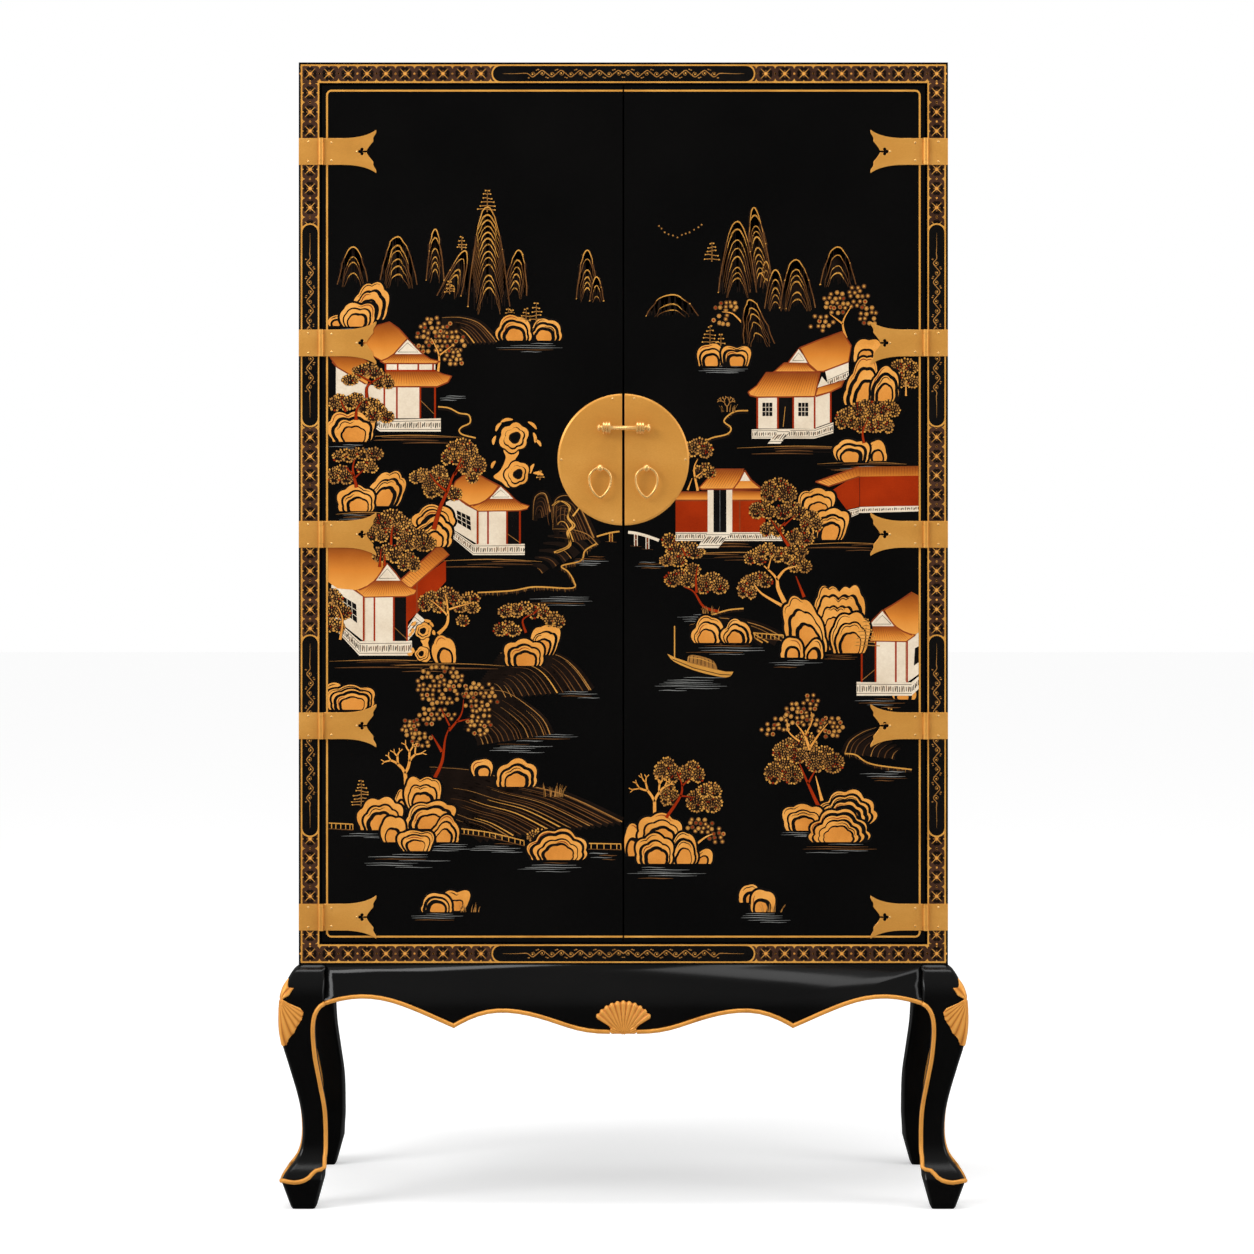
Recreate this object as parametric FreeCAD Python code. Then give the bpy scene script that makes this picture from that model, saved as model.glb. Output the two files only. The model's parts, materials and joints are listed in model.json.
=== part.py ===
"""A lacquer cabinet on a cabriole-leg stand, in millimetres.

The origin is on the floor under the middle of the cabinet. +Z is up and the doors face -Y.
Every sub-part is written to parts/NODE.step as one or more closed solids.
"""
import FreeCAD
import Part

import math
import os

V = FreeCAD.Vector
X, Y, Z = V(1, 0, 0), V(0, 1, 0), V(0, 0, 1)

# Overall sizes
case_width = 1020.0
case_depth = 480.0
case_height = 1418.0
stand_height = 382.0

# Case panels
panel_thickness = 20.0
back_thickness = 8.0
back_rabbet = 8.0
tongue_length = 8.0
tongue_thickness = 8.0
tongue_stop = 15.0
glue_clearance = 0.1
overrun = 5.0

# Face frame round the doors
frame_width = 34.0
frame_tenon_length = 14.0
frame_tenon_thickness = 8.0
frame_tenon_shoulder = 5.0

# Doors, as thick as the face frame that they close flush with
door_thickness = 22.0
door_gap = 2.0
seam_gap = 2.5

# Door stops behind the doors at the top and bottom
stop_length = 620.0
stop_depth = 14.0
stop_lap = 12.0
stop_clearance = 0.3

# Shelves on brass pegs
shelf_count = 3
shelf_thickness = 18.0
shelf_setback = 26.0
shelf_clearance = 0.5
peg_radius = 2.5
peg_head_radius = 4.5
peg_head_length = 12.0
peg_bevel = 0.6
peg_depth = 11.0
peg_inset = 60.0
peg_fit = 0.05

# Legs: a square cabriole section, the same seen from the front and from the side
leg_top_width = 42.4
knee_swell = 28.0
leg_edge_radius = 6.0
foot_rim_height = 46.5
foot_bevel_height = 4.0
foot_bevel = 2.5
foot_taper_out = 14.0
foot_taper_in = 11.5
mortise_clearance = 0.15
tenon_length = 22.0
tenon_thickness = 9.0
tenon_height = 30.0
tenon_drop = 12.0

# Rows of (height, outward reach, inward reach) as shares of the stand's height above the foot's
# rim, of the knee's swell and of the leg's top width, from the rim up to the case
leg_profile_shares = [
    (0.000, 0.925, 0.930),
    (0.025, 0.770, 0.945),
    (0.052, 0.530, 0.962),
    (0.085, 0.210, 0.990),
    (0.121, -0.010, 1.015),
    (0.163, -0.140, 1.020),
    (0.209, -0.186, 1.019),
    (0.261, -0.170, 1.010),
    (0.311, -0.110, 0.988),
    (0.368, 0.018, 0.930),
    (0.425, 0.180, 0.851),
    (0.493, 0.400, 0.760),
    (0.565, 0.640, 0.667),
    (0.624, 0.835, 0.622),
    (0.684, 0.960, 0.594),
    (0.727, 0.995, 0.599),
    (0.766, 1.000, 0.645),
    (0.792, 0.995, 0.725),
    (0.814, 0.980, 0.850),
    (0.832, 0.965, 0.985),
    (0.857, 0.930, 1.000),
    (0.900, 0.800, 1.000),
    (0.943, 0.560, 1.000),
    (0.978, 0.290, 1.000),
    (1.000, 0.000, 1.000),
]
bracket_station = 19

# Aprons between the legs
apron_back_inset = 15.0
apron_drop = 103.0
rear_apron_height = 58.0
rear_apron_thickness = 22.0

# The bulging face, from the case down: (drop as a share of the apron's drop, reach from the case as
# a share of the knee's swell)
apron_face_shares = [(0.0, 0.0), (0.12, 0.19), (0.26, 0.43), (0.40, 0.66), (0.52, 0.84), (0.62, 0.94),
                     (0.74, 0.97), (0.88, 0.95), (1.0, 0.91), (1.15, 0.86)]

# Lower edges, from a leg to the middle: (place from the middle as a share of the half length,
# drop as a share of the apron's drop). The front edge is two curves that meet in a cusp.
front_arch_shares = [(1.0, 0.569), (0.949, 0.508), (0.869, 0.471), (0.79, 0.515), (0.711, 0.629),
                     (0.632, 0.781), (0.568, 0.91)]
front_swag_shares = [(0.568, 0.91), (0.513, 0.781), (0.457, 0.701), (0.394, 0.68), (0.314, 0.73),
                     (0.236, 0.831), (0.156, 0.947), (0.077, 1.0), (0.0, 1.0)]
side_arch_shares = [(1.0, 0.569), (0.88, 0.50), (0.70, 0.471), (0.50, 0.505), (0.30, 0.60),
                    (0.12, 0.72), (0.0, 0.80)]

# Gilt bead along the apron's lower edge and the leg's inner edge
bead_radius = 3.4
bead_inset = 1.2
leg_bead_step = 8.0
apron_bead_step = 16.0
# The bead's last points round the foot: (reach from the case corner as a share of the foot rim's
# inward reach, height as a share of the rim's height)
foot_bead_shares = [(0.76, 1.33), (0.45, 1.10), (0.10, 0.97), (-0.25, 0.95)]

# Corner blocks inside the stand, each with two screws up into the case
block_reach = 46.0
block_height = 36.0
screw_radius = 2.2
screw_head_radius = 4.4
screw_head_height = 2.6
screw_bite = 14.0
screw_clearance = 0.1
block_screw_share = 0.46

# Carved shell on the front apron
shell_height = 52.0
shell_root_width = 42.0
shell_scroll_radius = 4.6
shell_scroll_rise = 4.4
shell_plate_rise = 2.4
shell_fan_angle = 108.0
shell_ribs = 11
shell_rib_sides = 12
shell_tip_radius = 5.2
shell_root_radius = 2.2
# The rib's rounded end: (distance past the tip's middle, radius), as shares of the tip's radius
shell_seat_gap = 0.15
shell_seat_steps = 16
shell_tip_shares = [(0.0, 1.0), (0.6, 0.8), (1.0, 0.3)]

# Carved leaf on each front knee
leaf_thickness = 2.6
leaf_width = 54.0
leaf_height = 106.0
leaf_drop = 19.0
leaf_station = 10
# Half outline of bud and fan: (half width share, height share from the top)
leaf_outline_shares = [(0.0, 0.0), (0.22, 0.13), (0.46, 0.14), (0.34, 0.25), (0.09, 0.30),
                       (0.38, 0.36), (0.86, 0.43), (1.0, 0.49), (0.93, 0.60), (0.75, 0.70),
                       (0.60, 0.80), (0.36, 0.88), (0.22, 0.98), (0.0, 1.0)]

# Strap hinges
hinge_count = 5
hinge_pitch = 300.7
hinge_middle_drop = 741.5
hinge_height = 42.0
hinge_thickness = 1.6
knuckle_radius = 4.3
knuckle_stand_off = 0.15
end_knuckle_length = 6.6
knuckle_side_gap = 0.2
hinge_pin_radius = 2.1
hinge_pin_fit = 0.06
strap_length = 86.5
strap_flare = 13.5
# Strap end, from the flare's tip to the notch: (length share, half height share of the flared tip)
strap_end_shares = [(1.0, 0.985), (1.005, 0.89), (0.972, 0.72), (0.949, 0.59), (0.951, 0.49),
                    (0.92, 0.37), (0.872, 0.22), (0.832, 0.05)]
strap_straight_share = 0.38
strap_bend_share = 0.8
trefoil_radius = 2.6
trefoil_reach_share = 0.745
trefoil_spread = 3.5
trefoil_neck = 1.2

# Round-headed nails: (reach from the hinge's axis as a share of the leaf's length, height share)
nail_radius = 0.9
nail_length = 11.0
nail_head_radius = 1.8
nail_head_height = 0.9
nail_point_length = 2.7
nail_dome_shares = [(0.0, 1.0), (0.35, 0.92), (0.75, 0.62), (1.0, 0.0)]
nail_fit = 0.05
leaf_nail_shares = [(0.57, 0.37), (0.57, -0.37)]
strap_nail_shares = [(0.19, 0.335), (0.19, -0.335), (0.65, 0.0)]

# Round lock plate in two halves
plate_radius = 103.5
plate_thickness = 2.0
plate_rim_thickness = 0.7
plate_bevel = 3.2
plate_drop = 624.0
plate_edge_gap = 4.0
plate_nail_inset = 6.0
plate_nail_angles = [80.0, 0.0, -80.0]

# Bolt that slides through a turned staple on each plate
bolt_rise = 49.5
bolt_stand_off = 12.5
staple_place = 26.5
staple_length = 12.0
staple_radius = 9.6
staple_bore_radius = 5.75
staple_neck_radius = 3.6
staple_shank_radius = 2.4
staple_shank_length = 16.0
bolt_journal_radius = 5.65
bolt_journal_overlap = 1.2
bolt_rod_radius = 3.4
bolt_neck_radius = 3.6
bolt_tip_length = 8.6
bolt_head_length = 10.4
bolt_head_radius = 6.4
bolt_head_gap = 0.3
# Three rings of the staple: (half length share, radius share)
staple_ring_shares = [(-1.0, 0.82), (-0.9, 0.97), (-0.52, 0.97), (-0.42, 0.8), (-0.32, 0.8), (-0.2, 1.0),
                      (0.2, 1.0), (0.32, 0.8), (0.42, 0.8), (0.52, 0.97), (0.9, 0.97), (1.0, 0.82)]
# Round knobs at the bolt's ends, from the end inwards: (length share, radius share)
knob_shares = [(0.0, 0.35), (0.06, 0.62), (0.2, 0.88), (0.38, 1.0), (0.52, 0.97), (0.66, 0.78), (0.74, 0.62)]

# Drop-shaped ring pulls on ball posts
post_place = 36.5
post_drop = 13.5
post_stand_off = 9.5
post_ball_radius = 5.6
post_neck_radius = 2.8
post_foot_radius = 5.2
post_foot_height = 1.6
post_hole_radius = 2.9
ring_width = 38.0
ring_length = 50.0
ring_wire_radius = 1.9
ring_tip_radius = 4.0

# Places that follow from the sizes above
side_x = case_width / 2
front_y = -case_depth / 2
rear_y = case_depth / 2
case_z = stand_height
top_z = stand_height + case_height
inside_x = side_x - panel_thickness
inside_bottom_z = case_z + panel_thickness
inside_top_z = top_z - panel_thickness
back_y = rear_y - back_thickness
frame_back_y = front_y + door_thickness
opening_x = side_x - frame_width
opening_bottom_z = case_z + frame_width
opening_top_z = top_z - frame_width
door_outer_x = opening_x - door_gap
door_inner_x = seam_gap / 2
door_bottom_z = opening_bottom_z + door_gap
door_top_z = opening_top_z - door_gap
hinge_axis_x = opening_x - door_gap / 2
hinge_axis_y = front_y - knuckle_radius - knuckle_stand_off
hinge_leaf_length = side_x - hinge_axis_x
plate_z = top_z - plate_drop
plate_face_y = front_y - plate_thickness
bolt_z = plate_z + bolt_rise
bolt_y = plate_face_y - bolt_stand_off
post_z = plate_z - post_drop
post_y = plate_face_y - post_stand_off
apron_half_front = side_x - leg_top_width
apron_half_side = case_depth / 2 - leg_top_width
hinge_places = [top_z - hinge_middle_drop + hinge_pitch * (hinge_count // 2 - row)
                for row in range(hinge_count)]


def box(x0, x1, y0, y1, z0, z1):
    """A block between two corners."""
    return Part.makeBox(x1 - x0, y1 - y0, z1 - z0, V(x0, y0, z0))


def prism(points, sweep):
    """A flat outline of points, pushed along a vector."""
    return Part.Face(Part.makePolygon(points + points[:1])).extrude(sweep)


def mirrored(shape):
    """The same shape on the other side of the cabinet."""
    return shape.mirror(V(0, 0, 0), X)


def to_rear(shape):
    """The same shape at the back of the cabinet."""
    return shape.mirror(V(0, 0, 0), Y)


def across_corner(shape):
    """The front-left shape turned about the diagonal of that corner, from front face to side face."""
    return shape.mirror(V(-side_x, front_y, 0), V(1, -1, 0))


def smooth_edge(points):
    """A smooth curve through the points."""
    curve = Part.BSplineCurve()
    curve.interpolate(points)
    return curve.toShape()


def turned(points, place, along):
    """A turned piece: (distance along the axis, radius) points, revolved about the axis."""
    side = Y if abs(along.x) > 0 else Z if abs(along.y) > 0 else X
    ends = [(reach, 0) for reach, radius in (points[0], points[-1]) if radius > 0]
    closed = ends[:1] * (points[0][1] > 0) + points + ends[-1:] * (points[-1][1] > 0)
    outline = [place + along * reach + side * radius for reach, radius in closed]
    face = Part.Face(Part.makePolygon(outline + outline[:1]))
    return face.revolve(place, along, 360)


def write(name, *solids):
    """One node's file, holding its solids."""
    pieces = [piece for solid in solids for piece in solid.Solids]
    shape = pieces[0] if len(pieces) == 1 else Part.makeCompound(pieces)
    assert pieces and shape.isValid(), name
    shape.exportStep(os.path.join("parts", name + ".step"))


# Legs

def leg_stations():
    """(height, outward reach, inward reach) of each section of a leg above the foot's rim."""
    rise = stand_height - foot_rim_height
    return [(foot_rim_height + rise * up, knee_swell * out, leg_top_width * inward)
            for up, out, inward in leg_profile_shares]


def leg_reach(z):
    """How far a leg's outer face stands out from the case at a height above the foot's rim."""
    rows = leg_stations()
    for (z0, out0, _), (z1, out1, _) in zip(rows, rows[1:]):
        if z <= z1:
            return out0 + (out1 - out0) * (z - z0) / (z1 - z0)
    return rows[-1][1]


def leg_section(z, out, inward, grow=0):
    """A square with rounded corners about the case's front-left corner, its outer side grown."""
    x0, x1 = -side_x - out - grow, -side_x + inward
    y0, y1 = front_y - out - grow, front_y + inward
    r = leg_edge_radius + grow
    k = r * (1 - math.sqrt(0.5))
    corners = [(x0, y0, 1, 1), (x1, y0, -1, 1), (x1, y1, -1, -1), (x0, y1, 1, -1)]
    edges = []
    for i, (x, y, sx, sy) in enumerate(corners):
        along_y, along_x = V(x, y + sy * r, z), V(x + sx * r, y, z)
        first, last = (along_y, along_x) if i % 2 == 0 else (along_x, along_y)
        edges.append(Part.Arc(first, V(x + sx * k, y + sy * k, z), last).toShape())
        nx, ny, tx, ty = corners[(i + 1) % 4]
        then = V(nx + tx * r, ny, z) if i % 2 == 0 else V(nx, ny + ty * r, z)
        edges.append(Part.LineSegment(last, then).toShape())
    return Part.Wire(edges)


def front_tenon(grow):
    """The front apron's tenon in the left leg, grown by a clearance."""
    x1 = -side_x + leg_top_width
    y0 = front_y + apron_back_inset / 2 - tenon_thickness / 2
    z1 = stand_height - tenon_drop
    return box(x1 - tenon_length - grow, x1, y0 - grow, y0 + tenon_thickness + grow,
               z1 - tenon_height - grow, z1 + grow)


def rear_tenon(grow):
    """The rear apron's tenon in the rear left leg, grown by a clearance."""
    x1 = -side_x + leg_top_width
    y1 = rear_y - rear_apron_thickness / 2 + tenon_thickness / 2
    z1 = stand_height - tenon_drop
    return box(x1 - tenon_length - grow, x1, y1 - tenon_thickness - grow, y1 + grow,
               z1 - tenon_height - grow, z1 + grow)


def leg_blank():
    """The front-left leg before its mortises."""
    stations = leg_stations()
    rim_z, rim_out, rim_in = stations[0]
    shaft = Part.makeLoft([leg_section(*s) for s in stations], True, False)
    low_out, low_in = rim_out - foot_taper_out, rim_in - foot_taper_in
    foot = Part.makeLoft([
        leg_section(0, low_out - foot_bevel, low_in - foot_bevel),
        leg_section(foot_bevel_height, low_out, low_in),
        leg_section(rim_z, rim_out, rim_in)], True, True)
    inner = -side_x + leg_top_width
    low_z = stations[bracket_station - 1][0]
    waste = box(inner, inner + leg_top_width, front_y - case_depth, rear_y, low_z, stand_height + overrun)
    return shaft.fuse(foot).cut(waste).cut(across_corner(waste))


def bead_along(points, step):
    """A round bead along a smooth line through the points, in short straight stretches."""
    edge = smooth_edge(points)
    count = max(2, round(edge.Length / step))
    first, last = edge.FirstParameter, edge.LastParameter
    rings = []
    for stop in range(count + 1):
        at = first + (last - first) * stop / count
        rings.append(Part.Wire(Part.makeCircle(bead_radius, edge.valueAt(at), edge.tangentAt(at))))
    return Part.makeLoft(rings, True, True)


def leg_bead(blank):
    """The bead down the front face's inner edge and round the foot to its outer corner."""
    stations = leg_stations()
    rim_z, rim_out, rim_in = stations[0]
    join_z = stand_height - apron_drop * front_arch_shares[0][1] + bead_inset
    line = [V(-side_x + leg_top_width, front_y - leg_reach(join_z), join_z)]
    line += [V(-side_x + inward - bead_inset, front_y - out, z)
             for z, out, inward in reversed(stations[2:bracket_station - 1])]
    for reach, height in foot_bead_shares:
        z = rim_z * height
        line.append(V(-side_x + rim_in * reach, front_y - leg_reach(max(z, rim_z)), z))
    corner = leg_edge_radius * (1 - math.sqrt(0.5))
    line.append(V(-side_x - rim_out + leg_edge_radius, front_y - rim_out, rim_z))
    line.append(V(-side_x - rim_out + corner, front_y - rim_out + corner, rim_z))
    line.append(V(-side_x - rim_out, front_y - rim_out + leg_edge_radius, rim_z))
    far = 2 * case_depth
    beyond = prism([V(-side_x + far, front_y + far, -overrun), V(-side_x - far, front_y - far, -overrun),
                    V(-side_x - far, front_y + far, -overrun)], Z * stand_height)
    return bead_along(line, leg_bead_step).cut(beyond).cut(blank)


def make_legs():
    """The four legs. Gives back the front-left one before its mortises, and its front bead."""
    blank = leg_blank()
    tenon = front_tenon(mortise_clearance)
    front_left = blank.cut([tenon, across_corner(tenon)])
    rear_left = to_rear(blank).cut([to_rear(across_corner(tenon)), rear_tenon(mortise_clearance)])
    write("leg_front_left", front_left)
    write("leg_front_right", mirrored(front_left))
    write("leg_rear_left", rear_left)
    write("leg_rear_right", mirrored(rear_left))
    return blank, leg_bead(blank)


# Aprons, first made with their length along X and the case's face at y = 0

def apron_reach(z):
    """How far an apron's face stands out from the case at a height."""
    rows = [(stand_height - apron_drop * down, knee_swell * out) for down, out in apron_face_shares]
    for (z0, out0), (z1, out1) in zip(rows, rows[1:]):
        if z >= z1:
            return out0 + (out1 - out0) * (z - z0) / (z1 - z0)
    return rows[-1][1]


def apron_face(x):
    """Points down an apron's bulging face, at one place along it."""
    return [V(x, -knee_swell * out, stand_height - apron_drop * down) for down, out in apron_face_shares]


def edge_points(half, shares, raised=0):
    """Points along one half of an apron's lower edge, on its face."""
    points = []
    for along, down in shares:
        z = stand_height - apron_drop * down + raised
        points.append(V(-half * along, -apron_reach(z), z))
    return points


def other_half(points):
    """The same points on the right half, from the middle outwards."""
    return [V(-p.x, p.y, p.z) for p in reversed(points)]


def edge_curves(half, arches, raised=0):
    """The lower edge as lists of points, one for each curve between cusps."""
    halves = [edge_points(half, shares, raised) for shares in arches]
    if len(halves) == 1:
        return [halves[0], other_half(halves[0])]
    outer, middle = halves
    return [outer, middle + other_half(middle)[1:], other_half(outer)]


def apron_blank(half, arches):
    """An apron with a bulging face and a shaped lower edge."""
    curves = [[V(p.x, 0, p.z) for p in points] for points in edge_curves(half, arches)]
    left, right = V(-half, 0, stand_height), V(half, 0, stand_height)
    edges = [smooth_edge(points) for points in curves]
    edges += [Part.LineSegment(curves[-1][-1], right).toShape(), Part.LineSegment(right, left).toShape(),
              Part.LineSegment(left, curves[0][0]).toShape()]
    depth = knee_swell + apron_back_inset
    board = Part.Face(Part.Wire(edges)).extrude(Y * 2 * depth)
    board.translate(Y * -depth)
    face = apron_face(-half)
    back_top, back_low = V(-half, apron_back_inset, face[0].z), V(-half, apron_back_inset, face[-1].z)
    section = Part.Wire([smooth_edge(face), Part.LineSegment(face[-1], back_low).toShape(),
                         Part.LineSegment(back_low, back_top).toShape(),
                         Part.LineSegment(back_top, face[0]).toShape()])
    return board.common(Part.Face(section).extrude(X * 2 * half))


def apron_bead(half, arches, blank):
    """The bead along an apron's lower edge, mitred where its curves meet in a cusp."""
    pieces = []
    for points in edge_curves(half, arches, bead_inset):
        edge = smooth_edge(points)
        first, last = points[0], points[-1]
        into = edge.tangentAt(edge.FirstParameter) * (2 * bead_radius)
        out = edge.tangentAt(edge.LastParameter) * (2 * bead_radius)
        span = box(first.x, last.x, -2 * knee_swell, apron_back_inset, 0, stand_height)
        rod = bead_along([first - into] + points + [last + out], apron_bead_step)
        pieces.append(rod.common(span).cut(blank))
    return pieces


def to_front(shape):
    """An apron's shape, set on the front of the stand."""
    return shape.translated(V(0, front_y, 0))


def to_left(shape):
    """An apron's shape, set on the left side of the stand."""
    return shape.rotated(V(0, 0, 0), Z, -90).translated(V(-side_x, 0, 0))


def shell_rib(root, tip):
    """One rib of the shell: a tapered rod with flat sides and a rounded tip."""
    along = tip - root
    along.normalize()
    side = along.cross(Y)
    side.normalize()
    rings = []
    stops = [(root, shell_root_radius)]
    stops += [(tip + along * (shell_tip_radius * on), shell_tip_radius * out) for on, out in shell_tip_shares]
    for place, radius in stops:
        turns = [2 * math.pi * corner / shell_rib_sides for corner in range(shell_rib_sides + 1)]
        rings.append(Part.makePolygon([place + (side * math.cos(a) + Y * math.sin(a)) * radius for a in turns]))
    return Part.makeLoft(rings, True, True)


def shell_seat():
    """What the shell's flat-sided back is cut to: the apron's face and all that lies behind it."""
    steps = smooth_edge(apron_face(-shell_height)).discretize(shell_seat_steps)
    face = [V(p.x, front_y + p.y - shell_seat_gap, p.z) for p in steps]
    return prism(face + [V(-shell_height, face[-1].y, 0), V(-shell_height, rear_y, 0),
                         V(-shell_height, rear_y, stand_height)], X * 2 * shell_height)


def shell():
    """The carved scallop in the middle of the front apron: a fan of ribs over two scrolls."""
    low = stand_height - apron_drop
    root = V(0, front_y - apron_reach(low), low + bead_inset - bead_radius)
    fan = shell_height - shell_tip_radius
    solids = []
    tips = []
    for rib in range(shell_ribs):
        angle = math.radians(shell_fan_angle * (rib / (shell_ribs - 1) - 0.5))
        along = V(math.sin(angle), 0, math.cos(angle))
        tip = root + along * fan
        tip.y = front_y - apron_reach(tip.z)
        tips.append(tip)
        solids.append(shell_rib(root, tip))
    out = shell_root_width / 2 - shell_scroll_radius
    for side in (-1, 1):
        place = V(root.x + side * out, root.y - shell_scroll_rise, root.z + shell_scroll_radius)
        solids.append(Part.makeCylinder(shell_scroll_radius, 2 * shell_scroll_rise, place, Y))
    foot = [root + V(out, 0, shell_scroll_radius), root + V(out, 0, 0), root + V(-out, 0, 0),
            root + V(-out, 0, shell_scroll_radius)]
    front = [V(p.x, root.y - shell_plate_rise, p.z) for p in tips + foot]
    plate = prism(front, Y * (2 * shell_plate_rise + apron_back_inset))
    return plate.fuse(solids).cut(shell_seat())


def make_aprons(blank, front_leg_bead):
    """The four aprons, the beads and the carved shell."""
    tenon = front_tenon(0)
    front_blank = apron_blank(apron_half_front, [front_arch_shares, front_swag_shares])
    front = to_front(front_blank)
    side_blank = apron_blank(apron_half_side, [side_arch_shares])
    side = to_left(side_blank)
    side_tenon = across_corner(tenon)
    write("apron_front", front.fuse([tenon, mirrored(tenon)]))
    left = side.fuse([side_tenon, to_rear(side_tenon)])
    write("apron_left", left)
    write("apron_right", mirrored(left))
    rear = box(-apron_half_front, apron_half_front, rear_y - rear_apron_thickness, rear_y,
               stand_height - rear_apron_height, stand_height)
    write("apron_rear", rear.fuse([rear_tenon(0), mirrored(rear_tenon(0))]))

    root = box(-shell_root_width / 2, shell_root_width / 2, front_y - 2 * knee_swell, rear_y, 0, stand_height)
    arches = [front_arch_shares, front_swag_shares]
    apron_beads = [to_front(b).cut(root) for b in apron_bead(apron_half_front, arches, front_blank)]
    write("apron_shell", shell())
    write("bead_front", front_leg_bead, mirrored(front_leg_bead), *apron_beads)
    side_bead = across_corner(front_leg_bead)
    side_beads = [to_left(b) for b in apron_bead(apron_half_side, [side_arch_shares], side_blank)]
    beads = [side_bead, to_rear(side_bead)] + side_beads
    write("bead_left", *beads)
    write("bead_right", *[mirrored(b) for b in beads])


def make_knee_leaves(blank):
    """The carved leaf that wraps the outer corner of each front knee."""
    stations = leg_stations()[leaf_station:]
    grown = Part.makeLoft([leg_section(*s, grow=leaf_thickness) for s in stations], True, False)
    across, out = V(1, -1, 0) * math.sqrt(0.5), V(-1, -1, 0) * math.sqrt(0.5)
    corner = V(-side_x, front_y, stand_height - leaf_drop)
    half = [corner + across * (leaf_width / 2 * w) - Z * (leaf_height * h) for w, h in leaf_outline_shares]
    back = [corner - across * (leaf_width / 2 * w) - Z * (leaf_height * h)
            for w, h in reversed(leaf_outline_shares[1:-1])]
    leaf = grown.common(prism(half + back, out * 2 * (knee_swell + leaf_thickness))).cut(blank)
    write("knee_leaf_left", leaf)
    write("knee_leaf_right", mirrored(leaf))


# Corner blocks, each measured from the case's own corner inwards along X and along Y

def corner_block(end, inset):
    """A glued block behind a left leg, at the front (end -1) or the rear (end 1), and its screw places."""
    def place(u, v, z):
        return V(-side_x + u, end * (case_depth / 2 - v), z)

    low, leg, side = stand_height - block_height, leg_top_width, apron_back_inset
    far = leg + block_reach
    block = prism([place(leg, inset, low), place(far, inset, low), place(side, far, low),
                   place(side, leg, low), place(leg, leg, low)], Z * block_height)
    along = leg + block_reach * block_screw_share
    v = (inset + inset + (far - inset) * (far - along) / (far - side)) / 2
    u = (side + side + (far - side) * (far - along) / (far - inset)) / 2
    return block, [place(along, v, low), place(u, along, low)]


def block_screw(place):
    """A screw up through a corner block into the case."""
    return turned([(-screw_head_height, screw_radius), (-screw_head_height / 2, screw_head_radius),
                   (0, screw_head_radius), (0, screw_radius), (block_height + screw_bite, screw_radius)],
                  place, Z)


def screw_hole(place):
    """The hole for a block's screw."""
    length = block_height + screw_bite + screw_clearance
    return Part.makeCylinder(screw_radius + screw_clearance, length, place, Z)


def make_corner_blocks():
    """The four corner blocks and their screws. Gives back the screws' places on both sides."""
    blocks, places = [], []
    for end, inset in ((-1, apron_back_inset), (1, rear_apron_thickness)):
        block, screws = corner_block(end, inset)
        block = block.cut([screw_hole(place) for place in screws])
        blocks += [block, mirrored(block)]
        places += screws + [V(-place.x, place.y, place.z) for place in screws]
    write("corner_blocks", *blocks)
    write("block_screws", *[block_screw(place) for place in places])
    return places


# Case

def side_tongues(grow):
    """The tongues at the top and bottom of the left side, grown by a clearance."""
    x0 = -side_x + (panel_thickness - tongue_thickness) / 2
    y0, y1 = frame_back_y + tongue_stop, back_y - tongue_stop
    return [box(x0 - grow, x0 + tongue_thickness + grow, y0 - grow, y1 + grow, z0, z1) for z0, z1 in (
        (inside_bottom_z - tongue_length - grow, inside_bottom_z),
        (inside_top_z, inside_top_z + tongue_length + grow))]


def back_board(grow):
    """The back panel in its rabbet, grown by a clearance."""
    reach = inside_x + back_rabbet + grow
    return box(-reach, reach, back_y, rear_y, inside_bottom_z - back_rabbet - grow,
               inside_top_z + back_rabbet + grow)


def rail_tenons(grow):
    """The rails' tenons in the left stile, grown by a clearance."""
    y0 = front_y + (door_thickness - frame_tenon_thickness) / 2
    tenons = []
    for z0 in (case_z, opening_top_z):
        tenons.append(box(-opening_x - frame_tenon_length - grow, -opening_x, y0 - grow,
                          y0 + frame_tenon_thickness + grow, z0 + frame_tenon_shoulder - grow,
                          z0 + frame_width - frame_tenon_shoulder + grow))
    return tenons


def shelf_places():
    """The height of each shelf's underside."""
    room = inside_top_z - inside_bottom_z - shelf_count * shelf_thickness
    step = room / (shelf_count + 1)
    return [inside_bottom_z + step + row * (step + shelf_thickness) for row in range(shelf_count)]


def peg_places():
    """The left side's peg holes, under each shelf at the front and the rear."""
    y0, y1 = frame_back_y + shelf_setback + peg_inset, back_y - peg_inset
    return [V(-inside_x, y, z - peg_head_radius) for z in shelf_places() for y in (y0, y1)]


def peg(place):
    """A brass peg: a thin end in the side and a thick end that carries the shelf."""
    head = [(0, peg_head_radius), (peg_head_length - peg_bevel, peg_head_radius),
            (peg_head_length, peg_head_radius - peg_bevel)]
    return turned([(-peg_depth, peg_radius), (0, peg_radius)] + head, place, X)


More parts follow.
